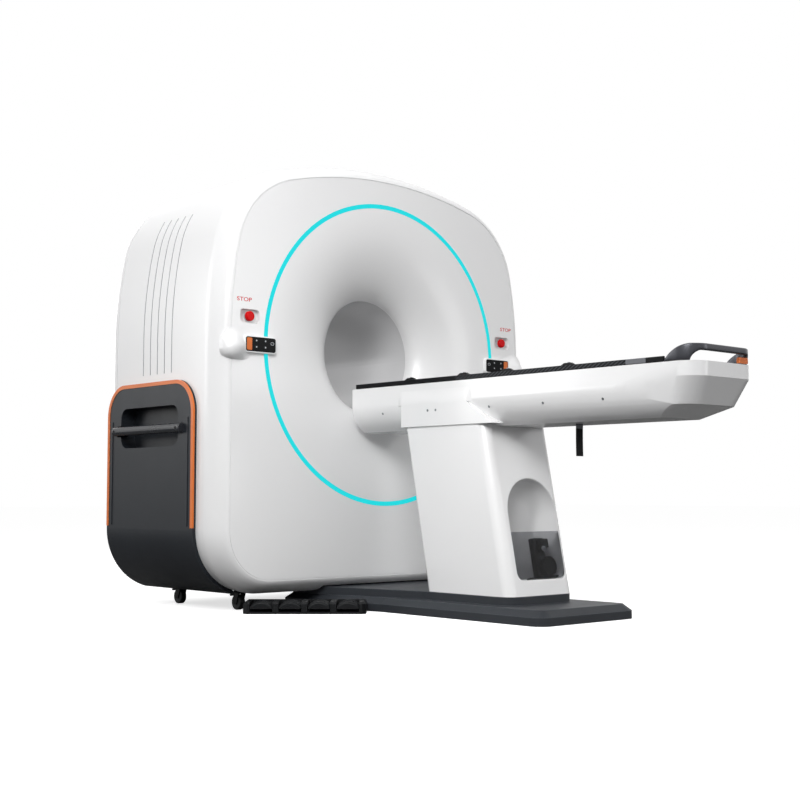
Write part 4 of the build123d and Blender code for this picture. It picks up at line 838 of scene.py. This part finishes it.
@dataclass
class FrontControls(Assembly):
    """Pods with their control panels and move keys, and the stop buttons."""

    panel_x: float = 0.610
    panel_z: float = 0.957
    panel_front: float = -0.014
    key_columns: Pair = (-20.5 * MM, 19.0 * MM)
    key_rows: Pair = (13.0 * MM, -9.5 * MM)
    key_size: Triple = (15, 12, 4)
    key_steps: Steps = ((0, -0.4), (0, 0.5), (0.8, 0.9), (3, 1.0))
    mark_size: Triple = (5.5, 5.5, 2.7)
    mark_steps: Steps = ((0, 0.6), (0, 1.15), (0.4, 1.25))
    oval_place: Pair = (49.5 * MM, 6 * MM)
    oval_size: Triple = (15, 10, 5)
    oval_steps: Steps = ((0, -0.4), (0, 0.5), (1.3, 0.5), (1.3, -0.4))
    stop_place: Pair = (0.650, 1.058)
    cup_floor: float = 18 * MM
    collar_size: Triple = disc(15)
    collar_steps: Steps = ((0, -0.3), (0, 6), (1.2, 7.5), (4, 7.5))
    plate_size: Triple = (141, 62, 13)
    plate_steps: Steps = ((0, -0.2), (0, 10), (0.4, 11.7), (1.3, 12.6), (3, 13), (4.7, 13), (4.7, 6.9))
    swell_x: float = 0.727
    swell_z: float = 0.945
    swell_rise: float = 33 * MM
    swell_root: float = 20 * MM
    swell_rays: int = 72
    swell_blur: float = 2.2
    swell_rings: int = 22
    swell_turns: Row = (-180, -135, -90, -60, -30, 0, 45, 90, 135, 180)
    swell_reaches: Row = (40, 46, 44, 52, 84, 118, 84, 70, 50, 40)
    swell_fades: Row = (0.6, 0.5, 0.5, 0.8, 2.2, 4.0, 3.0, 2.2, 1.2, 0.6)

    def swell(self, side: Side) -> np.ndarray:
        """Rings of the hand rest behind one panel, a drop that fades into the cover at its top and inner end.

        Along a ray at turn t its edge lies at a reach R(t), and at a share s of that it stands
        rise (1 - s²) to the power f(t). Both R and f run smoothly through the values at the named turns.

        Args:
            side: the side it is on.

        Returns:
            Rings from its root in the cover to its peak.
        """
        rays = self.swell_rays
        turn = np.radians(np.arange(rays) * 360 / rays - 180)
        knots = np.radians(self.swell_turns)
        soft = np.exp(-np.square(np.arange(-4, 5) / self.swell_blur))
        soft /= soft.sum()
        reach, fade = (
            np.convolve(np.tile(np.interp(turn, knots, values), 3), soft, "same")[rays:2 * rays]
            for values in (self.swell_reaches, self.swell_fades)
        )
        share = np.sin(np.linspace(0.5, 0.0, self.swell_rings) * math.pi)[:, None]
        height = self.swell_rise * np.power(np.clip(1 - share ** 2, 0, 1), fade)
        plan = np.stack((-side.value * share * reach * np.cos(turn), share * reach * np.sin(turn)), -1) * MM
        rings = front_face((side.value * self.swell_x, 0.0, self.swell_z)).lift(plan, height)
        return np.concatenate((rings[:1] + (0.0, self.swell_root, 0.0), rings))

    def spot(self, side: Side, x: float = 0.0, z: float = 0.0, front: float = 0.0) -> Face:
        """A place on one panel, where x grows towards the bore."""
        return front_face((side.value * (self.panel_x - x), front, self.panel_z + z))

    def pod(self, side: Side) -> Piece:
        """Make one white pod: the rim that frames its panel, and the swell that the rim stands on."""
        rim = raised(self.spot(side), self.plate_size, self.plate_steps, 64)
        return skin(f"control_pod_{side.name.lower()}", [rim, self.swell(side)], 50)

    def marks(self, side: Side) -> None:
        """Make one panel's four soft keys, their pale marks and the oval pilot light."""
        name = side.name.lower()
        spots = [self.spot(side, x, z, self.panel_front) for x in self.key_columns for z in self.key_rows]
        keys = [raised(spot, self.key_size, self.key_steps) for spot in spots]
        self.keep(skin(f"soft_keys_{name}", keys), PLASTIC, Body.GANTRY, "panel_face")
        dots = [raised(spot, self.mark_size, self.mark_steps, 24) for spot in spots]
        ring = raised(self.spot(side, *self.oval_place, self.panel_front), self.oval_size, self.oval_steps)
        self.keep(skin(f"panel_marks_{name}", dots + [ring]), PALE_INK, Body.GANTRY, "panel_face")

    def collars(self) -> None:
        """Make the grey collar between each stop button and the floor of its cup."""
        x, z = self.stop_place
        faces = [front_face((side.value * x, self.cup_floor, z)) for side in Side]
        rings = [raised(face, self.collar_size, self.collar_steps) for face in faces]
        self.keep(skin("stop_collars", rings), KNOB, Body.GANTRY, "housing_grey")

    def build(self) -> None:
        """Dress the pods, panels, keys and buttons, and add their marks and collars."""
        for side in Side:
            self.keep(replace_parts(self.pod(side), "control_pods"), COVER, Body.GANTRY, "white_cover")
        self.dress(FILM, "control_panels")
        self.dress(KEY, "move_key_left", "move_key_right")
        self.dress(STOP, "stop_button_left", "stop_button_right")
        self.collars()
        for side in Side:
            self.marks(side)


@dataclass
class Table(Assembly):
    """Hull, sliding board, rails, clips, push handle, lever and the strap under the hull."""

    screw_ys: Row = (-0.160, -0.416, -0.457, -0.710, -0.956, -1.208)
    screw_z: float = 0.720
    clip_ys: Row = (-0.316, -0.590, -0.798, -1.068)
    roller_place: Pair = (151.5 * MM, 844.5 * MM)
    roller_reaches: Row = (0.0, 1.0, 1.0, 7.0, 7.0, 8.0)
    roller_radii: Row = (2.8, 2.8, 2.2, 2.2, 2.8, 2.8)
    strap_size: Pair = (34 * MM, 107.7 * MM)
    strap_y: float = -0.978
    strap_top: float = 0.6557
    strap_sway: float = 1.0 * MM
    strap_thick: float = 2.0 * MM
    strap_grid: tuple[int, int] = (17, 33)
    tag_size: Triple = (35, 15, 2)
    tag_steps: Steps = ((0.6, -1), (0, -0.6), (0, 0.6), (0.6, 1))
    tag_drop: float = 8.5 * MM
    hoop_half: float = 155 * MM
    hoop_start: float = -1448 * MM
    hoop_turn: float = -1492 * MM
    hoop_radius: float = 62 * MM
    hoop_wall: float = 14 * MM
    hoop_edge: float = 5 * MM
    edge_share: float = 0.45
    hoop_least: float = 0.5 * MM
    hoop_rings: tuple[int, int] = (70, 12)
    hoop_points: int = 28
    hoop_low: float = 820 * MM
    hoop_rise: float = 51 * MM
    hoop_shoulder: float = 86 * MM
    hoop_power: float = 1.6
    slot_rise: float = 30 * MM
    slot_start: float = 84 * MM
    slot_round: float = 34 * MM
    throat_gap: float = 1.0 * MM
    throat_heights: Row = (0.60, 0.69, 0.72, 0.722)
    throat_drop: float = 0.030
    weld: float = 0.005 * MM
    crease: float = 11.0
    boss_front: float = -609 * MM
    boss_rear: float = -275 * MM
    boss_top: float = 745 * MM
    boss_step: float = 6.2 * MM
    flank: float = 163 * MM
    fade: float = 24 * MM
    fairing_height: float = 58 * MM
    fairing_sink: float = 0.3 * MM
    fairing_wall: float = 3 * MM
    fairing_lap: float = 2 * MM
    fairing_grid: tuple[int, int] = (60, 16)

    def swing(self, share: np.ndarray) -> np.ndarray:
        """Rise from 0 to 1 along a soft shoulder: (1 - (1 - s)^p)^(1/p)."""
        return (1 - np.clip(1 - share, 0, 1) ** self.hoop_power) ** (1 / self.hoop_power)

    def hoop(self) -> Piece:
        """Make the push handle: an upright band up one leg, round the table's end and down the other.

        Its top swings up with the distance t from either foot, and its underside does so from the
        slot's start on.

        Returns:
            The handle.
        """
        leg = self.hoop_start - self.hoop_turn
        bend = leg + self.hoop_radius * math.pi / 2
        middle = self.hoop_half - self.hoop_radius
        first, second = self.hoop_rings
        t = np.concatenate((
            np.linspace(0.2 * MM, bend, first), np.linspace(bend + 4 * MM, bend + middle, second),
        ))
        turn = np.clip((t - leg) / self.hoop_radius, 0, math.pi / 2)
        x = -middle - self.hoop_radius * np.cos(turn) + np.clip(t - bend, 0, None)
        y = self.hoop_turn + np.clip(leg - t, 0, None) - self.hoop_radius * np.sin(turn)
        top = self.hoop_rise * self.swing(t / self.hoop_shoulder)
        foot = self.slot_rise * self.swing(np.clip((t - self.slot_start) / self.slot_round, 0, 1))
        place = np.column_stack((x, y, -np.cos(turn), -np.sin(turn), foot, top))
        place = np.concatenate((place, place[-2::-1] * (-1, 1, -1, 1, 1, 1)))
        x, y, out_x, out_y, foot, top = place.T[:, :, None]
        height = np.maximum(top - foot, self.hoop_least)
        edge = np.minimum(self.hoop_edge, height * self.edge_share)
        band = outline(1.0, 1.0, 0.5, self.hoop_points).T
        across = band[0] * 2 * edge + np.sign(band[0]) * (self.hoop_wall / 2 - edge)
        up = band[1] * 2 * edge + np.sign(band[1]) * (height / 2 - edge)
        rings = np.stack((x + out_x * across, y + out_y * across, self.hoop_low + (foot + top) / 2 + up), -1)
        return skin("push_handle", [rings], 50)

    def hull(self) -> Piece:
        """Copy the hull with its throat opened to the pedestal's crisper corners, shaded as the hull is."""
        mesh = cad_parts["table_hull"].data.copy()
        shape = bmesh.new()
        shape.from_mesh(mesh)
        bmesh.ops.remove_doubles(shape, verts=shape.verts[:], dist=self.weld)
        shape.to_mesh(mesh)
        shape.free()
        mesh.attributes.remove(mesh.attributes["custom_normal"])
        made = stand("hull_with_throat", mesh)
        tool = PLINTH.rings(self.throat_gap, self.throat_heights, self.throat_drop)
        carve(made, skin("throat_tool", [tool]))
        crisp(made, self.crease)
        return made

    def strap(self) -> Piece:
        """Hang the webbing: y = y0 + sway sin(pi v) (1 - u²), with v from 0 at the hull to 1 at the cut end.

        Returns:
            The strap with its thickness.
        """
        columns, rows = self.strap_grid
        across, down = np.meshgrid(np.linspace(-0.5, 0.5, columns), np.linspace(0, 1, rows))
        width, length = self.strap_size
        points = np.stack((
            across * width,
            self.strap_y + self.strap_sway * np.sin(math.pi * down) * (1 - across ** 2),
            self.strap_top - down * length,
        ), -1)
        ids = np.arange(across.size).reshape(across.shape)
        faces = np.stack((ids[:-1, :-1], ids[:-1, 1:], ids[1:, 1:], ids[1:, :-1]), -1).reshape(-1, 4)
        mesh = bpy.data.meshes.new("webbing_strap")
        mesh.from_pydata(points.reshape(-1, 3).tolist(), [], faces.tolist())
        mesh.shade_smooth()
        made = stand("webbing_strap", mesh)
        wall = made.modifiers.new("cloth", "SOLIDIFY")
        wall.thickness = self.strap_thick
        wall.offset = 0.0
        return made

    def fairing(self) -> Piece:
        """Blend the boss into the hull's flanks.

        The skin stands step · g(y) · h(z) out of the flank. Upwards h falls smoothly from 1 at the boss's
        top edge to 0, and g does the same past either end of the boss.

        Returns:
            Both fairings as one piece.
        """
        rows, columns = self.fairing_grid
        y = np.linspace(self.boss_front - self.fade, self.boss_rear + self.fade, rows)[:, None]
        z = np.linspace(self.boss_top - self.fairing_lap, self.boss_top + self.fairing_height, columns)
        along = smooth(1 - np.maximum(self.boss_front - y, y - self.boss_rear) / self.fade)
        upward = smooth((z[-1] - z) / (z[-1] - z[0]))
        out = self.flank - self.fairing_sink + self.boss_step * along * upward
        patches = []
        for side in Side:
            face = np.stack((side.value * out, y + 0 * out, z + 0 * out), -1)
            back = face[:, [-1, 0]].copy()
            back[..., 0] = side.value * (self.flank - self.fairing_wall)
            patches.append(np.concatenate((face, back), axis=1))
        return skin("boss_fairings", patches, 50)

    def rollers(self) -> Piece:
        """Make a flanged roller across the top of each rail clip, near its outer end on either side."""
        reach, radius = (np.array(row)[:, None] * MM for row in (self.roller_reaches, self.roller_radii))
        turn = np.arange(24) * math.tau / 24
        x, z = self.roller_place
        out, along, up = x + reach + 0 * turn, radius * np.cos(turn), z + radius * np.sin(turn)
        places = [(side.value, y) for side in Side for y in self.clip_ys]
        return skin("clip_rollers", [np.stack((side * out, y + along, up), -1) for side, y in places])

    def build(self) -> None:
        """Dress the table and make its hull, handle, fairings, screws, rollers, strap and tag."""
        heads = [
            Screw().rings(touch("table_hull", (side.value, y, self.screw_z), (-side.value, 0, 0)))
            for side in Side for y in self.screw_ys
        ]
        self.keep(skin("hull_screws", heads), SCREW, Body.TABLE, "frame_steel")
        self.keep(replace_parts(self.hull(), "table_hull"), HULL, Body.TABLE, "hull_white")
        self.dress(DECK, "table_deck", "slide_carriage")
        self.dress(BOARD, "tabletop")
        self.dress(RAIL, "side_rails")
        self.dress(PLASTIC, "rail_clips")
        self.keep(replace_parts(self.hoop(), "end_handle"), LOOP, Body.TOP, "end_handle_grey")
        self.dress(KEY, "release_lever")
        self.keep(self.fairing(), HULL, Body.TABLE, "hull_white")
        self.keep(self.rollers(), SCREW, Body.TOP, "frame_steel")
        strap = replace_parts(self.keep(self.strap(), STRAP, Body.TABLE, "webbing"), "strap")
        face = front_face((0.0, self.strap_y, self.strap_top - self.tag_drop))
        tag = skin("strap_tag", [raised(face, self.tag_size, self.tag_steps)])
        self.keep(tag, TAG, Body.TABLE, "webbing")


@dataclass
class Pedestal(Assembly):
    """Leaning pedestal with its pocket, smoked window and hand controller."""

    pocket_x: float = 16 * MM
    pocket_low: float = 131 * MM
    pocket_size: Triple = (247 * MM, 351 * MM, 30 * MM)
    lip: float = 4 * MM
    lip_rings: int = 8
    cut_levels: Pair = (30 * MM, -60 * MM)
    pocket_depths: Pair = (125 * MM, 62 * MM)
    pocket_rounds: Pair = (9 * MM, 62 * MM)
    arch_points: tuple[int, ...] = (40, 16, 12, 12, 16)
    change_start: float = 0.25
    liner_wall: float = 2.5 * MM
    liner_gap: float = 0.4 * MM
    liner_rim: float = 3.6 * MM
    liner_rings: int = 14
    back_middle: float = 0.42
    back_shares: Row = (0.3, 0.6, 0.85, 0.97)
    key_columns: Pair = (54 * MM, 70 * MM)
    key_rows: Row = (28 * MM, 46 * MM, 64 * MM, 82 * MM)
    key_front: float = -59 * MM
    key_size: Triple = (11, 11, 3)
    key_steps: Steps = ((0, -0.4), (0, 1.2), (1.0, 1.8), (3, 1.8))
    knob_place: Triple = (64 * MM, 110.6 * MM, -36 * MM)
    knob_size: Triple = disc(9.5)
    knob_steps: Steps = ((0, -0.4), (0, 2.6), (1.5, 4), (5, 4.4))

    def pocket_face(self) -> Face:
        """The leaning front face, with its middle at the pocket's foot."""
        slope = math.hypot(1, PLINTH.lean)
        y = PLINTH.front + PLINTH.lean * (self.pocket_low - PLINTH.foot)
        up = (0.0, PLINTH.lean / slope, 1 / slope)
        return Face((self.pocket_x, y, self.pocket_low), (1.0, 0.0, 0.0), up)

    def arch(self, grow: float | np.ndarray) -> np.ndarray:
        """Plan of the pocket: a half circle over upright sides, with two small corners at its foot.

        Each point is c + (r + grow) n, with its own centre c, radius r and outward direction n.

        Args:
            grow: how far it stands outside the pocket's own edge, one value or one for each point.

        Returns:
            An array of points, with x and y last.
        """
        width, height, corner = self.pocket_size
        half = width / 2
        over, upright, low, *_ = self.arch_points
        top, foot = np.linspace(0, math.pi, over), np.linspace(0, math.pi / 2, low)
        rise = np.linspace(height - half, corner, upright + 2)[1:-1]
        left, right = np.full(upright, math.pi), np.zeros(upright)
        turn = np.concatenate((top, left, math.pi + foot, 1.5 * math.pi + foot, right))
        y = np.concatenate((np.full(over, height - half), rise, np.full(2 * low, corner), rise[::-1]))
        x = np.repeat((0.0, 0.0, corner - half, half - corner, 0.0), self.arch_points)
        radius = np.repeat((half, half, corner, corner, half), self.arch_points) + grow
        return np.stack((x + radius * np.cos(turn), y + radius * np.sin(turn)), -1)

    def cover(self) -> Piece:
        """Make the pedestal's wall and open the pocket in it, with a lip that rolls in.

        The lip's edge stands outside the pocket by r - sqrt(r² - (r - d)²) at a depth d.
        """
        made = skin("pedestal_shell", [np.concatenate((
            PLINTH.rings(0.0, (PLINTH.foot, PLINTH.taper, PLINTH.top)),
            PLINTH.rings(-PLINTH.wall, (PLINTH.top, PLINTH.taper, PLINTH.foot)),
        ))], 30, endless=True)
        depth = self.lip * (1 - np.sin(np.linspace(math.pi / 2, 0, self.lip_rings)))
        grow = self.lip - np.sqrt(self.lip ** 2 - (self.lip - depth) ** 2)
        outer, inner = self.cut_levels
        steps = [(self.lip, outer), *zip(grow, -depth), (0.0, inner)]
        face = self.pocket_face()
        count = sum(self.arch_points)
        rings = [face.lift(self.arch(out), np.full(count, level)) for out, level in steps]
        carve(made, skin("pocket_tool", [np.stack(rings)]))
        crisp(made, 30)
        return made

    def change(self, ends: Pair, plan: np.ndarray) -> np.ndarray:
        """Run smoothly from the foot's value to the arch's, by each point's height in the pocket."""
        share = smooth((plan[:, 1] / self.pocket_size[1] - self.change_start) / (1 - self.change_start))
        return ends[0] + share * (ends[1] - ends[0])

    def scoop(self, grow: float) -> np.ndarray:
        """Rings of the pocket's inside from its rim to its back.

        A point at a share s of the rounding lies at a depth D(y) sqrt(1 - (1 - s)²), and both D and the
        rounding's width run smoothly from their values at the foot to those under the arch.

        Args:
            grow: how far this skin lies outside the inner one.

        Returns:
            The rings.
        """
        edge = grow - self.liner_gap
        width = self.change(self.pocket_rounds, self.arch(edge))
        turns = np.linspace(0, math.pi / 2, self.liner_rings)
        rings = [(self.arch(edge - (1 - math.cos(turn)) * width), math.sin(turn)) for turn in turns]
        back, centre = rings[-1][0], np.array((0.0, self.pocket_size[1] * self.back_middle))
        rings += [(back * (1 - share) + centre * share, 1.0) for share in self.back_shares]
        face = self.pocket_face()
        return np.stack([
            face.lift(plan, -self.liner_rim - share * (self.change(self.pocket_depths, plan) + grow))
            for plan, share in rings
        ])

    def controller(self) -> None:
        """Add the keys and the pale knob on the hand controller."""
        face = self.pocket_face()
        keys = [
            raised(face.shift(x, y, self.key_front), self.key_size, self.key_steps)
            for y in self.key_rows for x in self.key_columns
        ]
        self.keep(skin("controller_keys", keys), GRIP, Body.GANTRY, "black_plastic")
        cap = raised(face.shift(*self.knob_place), self.knob_size, self.knob_steps)
        self.keep(skin("controller_knob", [cap]), KNOB, Body.GANTRY, "black_plastic")

    def build(self) -> None:
        """Make the cover and the pocket's inside, dress the rest and add the hand controller's keys."""
        self.keep(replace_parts(self.cover(), "pedestal_cover"), PEDESTAL, Body.GANTRY, "pedestal_white")
        rings = np.concatenate((self.scoop(self.liner_wall)[::-1], self.scoop(0.0)))
        liner = skin("pocket_scoop", [rings], 50)
        self.keep(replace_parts(liner, "pocket_liner"), POCKET, Body.GANTRY, "pocket_grey")
        self.dress(WINDOW, "pocket_window")
        self.dress(PLASTIC, "hand_controller")
        self.controller()


@dataclass
class Ground(Assembly):
    """Floor plate, casters and foot switch."""

    dock_y: float = -0.187
    foot_length: float = 0.435
    foot_depth: float = 0.130
    foot_turn: float = math.radians(-42)
    pedal_width: float = 0.075
    pedal_top: float = 0.043
    pedal_rise: float = 0.014
    rib_ys: Row = (0.022, 0.034, 0.046, 0.058, 0.070, 0.082, 0.094)
    rib_radius: float = 1.4 * MM
    rib_inset: float = 5 * MM
    rib_rings: int = 25

    def pedal_ribs(self, pedal: int) -> Piece:
        """Make one pedal's grip ribs, which follow its arch: z = c + sqrt(R² - x²) across the pedal.

        Args:
            pedal: its place in the row from the outer end, counted from 0.

        Returns:
            The ribs as one piece.
        """
        half = self.pedal_width / 2
        arch = (half ** 2 + self.pedal_rise ** 2) / (2 * self.pedal_rise)
        across = np.linspace(self.rib_inset - half, half - self.rib_inset, self.rib_rings)
        gap = (self.foot_length - len(PEDALS) * self.pedal_width) / (len(PEDALS) + 1)
        middle = gap + pedal * (self.pedal_width + gap) + half
        height = self.pedal_top - arch + np.sqrt(arch ** 2 - across ** 2) - 0.5 * self.rib_radius
        corner = np.array([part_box("foot_switch_base")[1].x, self.dock_y])
        cos, sin = math.cos(self.foot_turn), math.sin(self.foot_turn)
        ribs = []
        for y in self.rib_ys:
            local = np.stack((middle + across - self.foot_length, y - self.foot_depth + 0 * across), -1)
            path = np.column_stack((corner + local @ np.array(((cos, sin), (-sin, cos))), height))
            ribs.append(tube(path, self.rib_radius, (-sin, cos, 0.0)))
        return skin(f"pedal_ribs_{pedal + 1}", ribs, 60)

    def build(self) -> None:
        """Dress what stands on the ground and add pedal ribs."""
        self.dress(CASTING, "floor_plate")
        self.dress(PLASTIC, "foot_switch_base")
        self.dress(PEDAL, *(pedal.value for pedal in PEDALS))
        ends = ("front_left", "front_right", "rear_left", "rear_right")
        self.dress(FORK, *(f"caster_fork_{end}" for end in ends))
        self.dress(TYRE, *(f"caster_wheel_{end}" for end in ends))
        for number, pedal in enumerate(PEDALS):
            self.keep(self.pedal_ribs(number), PEDAL, pedal, "pedal_rubber")


@dataclass
class Inside(Assembly):
    """Frame, rotor, drive, power and lift behind the covers."""

    def build(self) -> None:
        """Dress the inner parts by the record's slots."""
        finishes = {
            "frame_steel": FRAME, "bearing_steel": BEARING, "rotor_alloy": ALLOY, "housing_grey": HOUSING,
            "slip_ring_copper": COPPER, "belt_rubber": RUBBER, "motor_paint": MOTOR, "column_steel": COLUMN,
            "black_plastic": PLASTIC,
        }
        for name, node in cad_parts.items():
            slot = node.material_slots[0].material.name.split(".")[0]
            if slot in finishes:
                self.dress(finishes[slot], name)


@dataclass
class Lamp:
    """A soft box that looks at a point, with a grid that narrows its beam to a spread in degrees."""

    name: str
    place: Triple
    target: Triple
    size: Pair
    watts: float
    spread: float = 180.0

    def build(self) -> None:
        """Add the lamp to the scene."""
        data = bpy.data.lights.new(self.name, "AREA")
        data.shape = "RECTANGLE"
        data.size, data.size_y = self.size
        data.energy = self.watts
        data.spread = math.radians(self.spread)
        lamp = stand(self.name, data)
        lamp.location = self.place
        lamp.rotation_euler = (Vector(self.target) - Vector(self.place)).to_track_quat("-Z", "Y").to_euler()


@dataclass
class Studio:
    """Camera, soft light, white surroundings and a pale floor."""

    lens: float = 60.31
    film: float = 36.0
    sight: float = 200.0
    camera_place: Triple = (-3.43907, -3.90323, 0.41914)
    camera_yaw: float = 41.98
    camera_pitch: float = 4.05
    ambient: str = "#ABABAB"
    floor_half: float = 40.0
    floor_colour: str = "#727272"
    floor_seen: str = "#E2E2E2"
    floor_lift: float = 0.68

    def camera(self) -> None:
        """Set the camera up where the photograph was taken from."""
        data = bpy.data.cameras.new("camera")
        data.lens = self.lens
        data.sensor_width = self.film
        data.clip_end = self.sight
        camera = stand("camera", data)
        camera.location = self.camera_place
        camera.rotation_euler = (math.radians(90 + self.camera_pitch), 0.0, math.radians(-self.camera_yaw))
        bpy.context.scene.camera = camera

    def world(self) -> None:
        """White for the camera, for gloss and through glass, and soft grey for all other light."""
        world = bpy.data.worlds.new("studio")
        tree = blank(world)
        rays = add(tree, "LightPath").node.outputs
        seen = rays["Is Camera Ray"]
        for kind in ("Is Glossy Ray", "Is Transmission Ray"):
            seen = add(tree, "Math", {0: seen, 1: rays[kind]}, operation="MAXIMUM")
        soft = add(tree, "Background", {"Color": linear(self.ambient), "Strength": 1.0})
        white = add(tree, "Background", {"Color": linear("#FFFFFF"), "Strength": 1.0})
        both = add(tree, "MixShader", {0: seen, 1: soft, 2: white})
        add(tree, "OutputWorld", {"Surface": both})
        bpy.context.scene.world = world

    def floor(self) -> None:
        """Lay the pale floor, which the camera sees lifted towards white, so that only the shadow shows."""
        half = self.floor_half
        mesh = bpy.data.meshes.new("floor")
        corners = [(-half, -half, 0), (half, -half, 0), (half, half, 0), (-half, half, 0)]
        mesh.from_pydata(corners, [], [(0, 1, 2, 3)])
        material = bpy.data.materials.new("pale_studio_floor")
        tree = blank(material)
        seen = add(tree, "LightPath", give="Is Camera Ray")
        lift = add(tree, "Math", {0: seen, 1: self.floor_lift}, operation="MULTIPLY")
        shade = add(tree, "Mix", {
            "Factor": seen, "A": linear(self.floor_colour), "B": linear(self.floor_seen),
        }, data_type="RGBA")
        matt = add(tree, "BsdfDiffuse", {"Color": shade})
        glow = add(tree, "Emission", {"Strength": lift})
        both = add(tree, "AddShader", {0: matt, 1: glow})
        add(tree, "OutputMaterial", {"Surface": both})
        mesh.materials.append(material)
        stand("floor", mesh)

    def lamps(self) -> None:
        """Hang the key at the left front, boxes at flank, top and back, and one the front cover mirrors."""
        middle = (-0.3, 0.2, 1.1)
        for lamp in (
            Lamp("key", (-3.0, -2.5, 3.0), middle, (2.2, 2.2), 58.0, 120.0),
            Lamp("flank", (-4.2, 3.6, 2.0), (-0.8, 0.4, 0.8), (2.0, 2.0), 52.0),
            Lamp("overhead", (0.0, -0.8, 4.6), (0.0, -0.4, 0.8), (3.0, 3.0), 32.0),
            Lamp("table_side", (-3.9, -2.8, 2.9), (-0.1, -0.6, 0.35), (1.2, 1.2), 2.4, 40.0),
            Lamp("front_box", (3.3, -6.2, 1.9), (-0.6, 0.0, 1.1), (1.6, 3.2), 45.0),
            Lamp("rear_fill", (1.4, 5.6, 2.6), (0.0, 0.7, 0.9), (3.0, 3.0), 36.0, 120.0),
        ):
            lamp.build()

    def build(self) -> None:
        """Set up the whole studio."""
        self.camera()
        self.world()
        self.floor()
        self.lamps()
        bpy.context.scene.view_settings.view_transform = "Standard"


def main() -> None:
    """Build the studio and the scanner's parts in order."""
    logging.basicConfig(level=logging.INFO, format="%(message)s")
    Studio().build()
    for part in (Inside(), Shells(), SidePanels(), FrontControls(), Table(), Pedestal(), Ground()):
        part.build()
        LOG.info("finished %s", type(part).__name__)


if __name__ == "__main__":
    main()
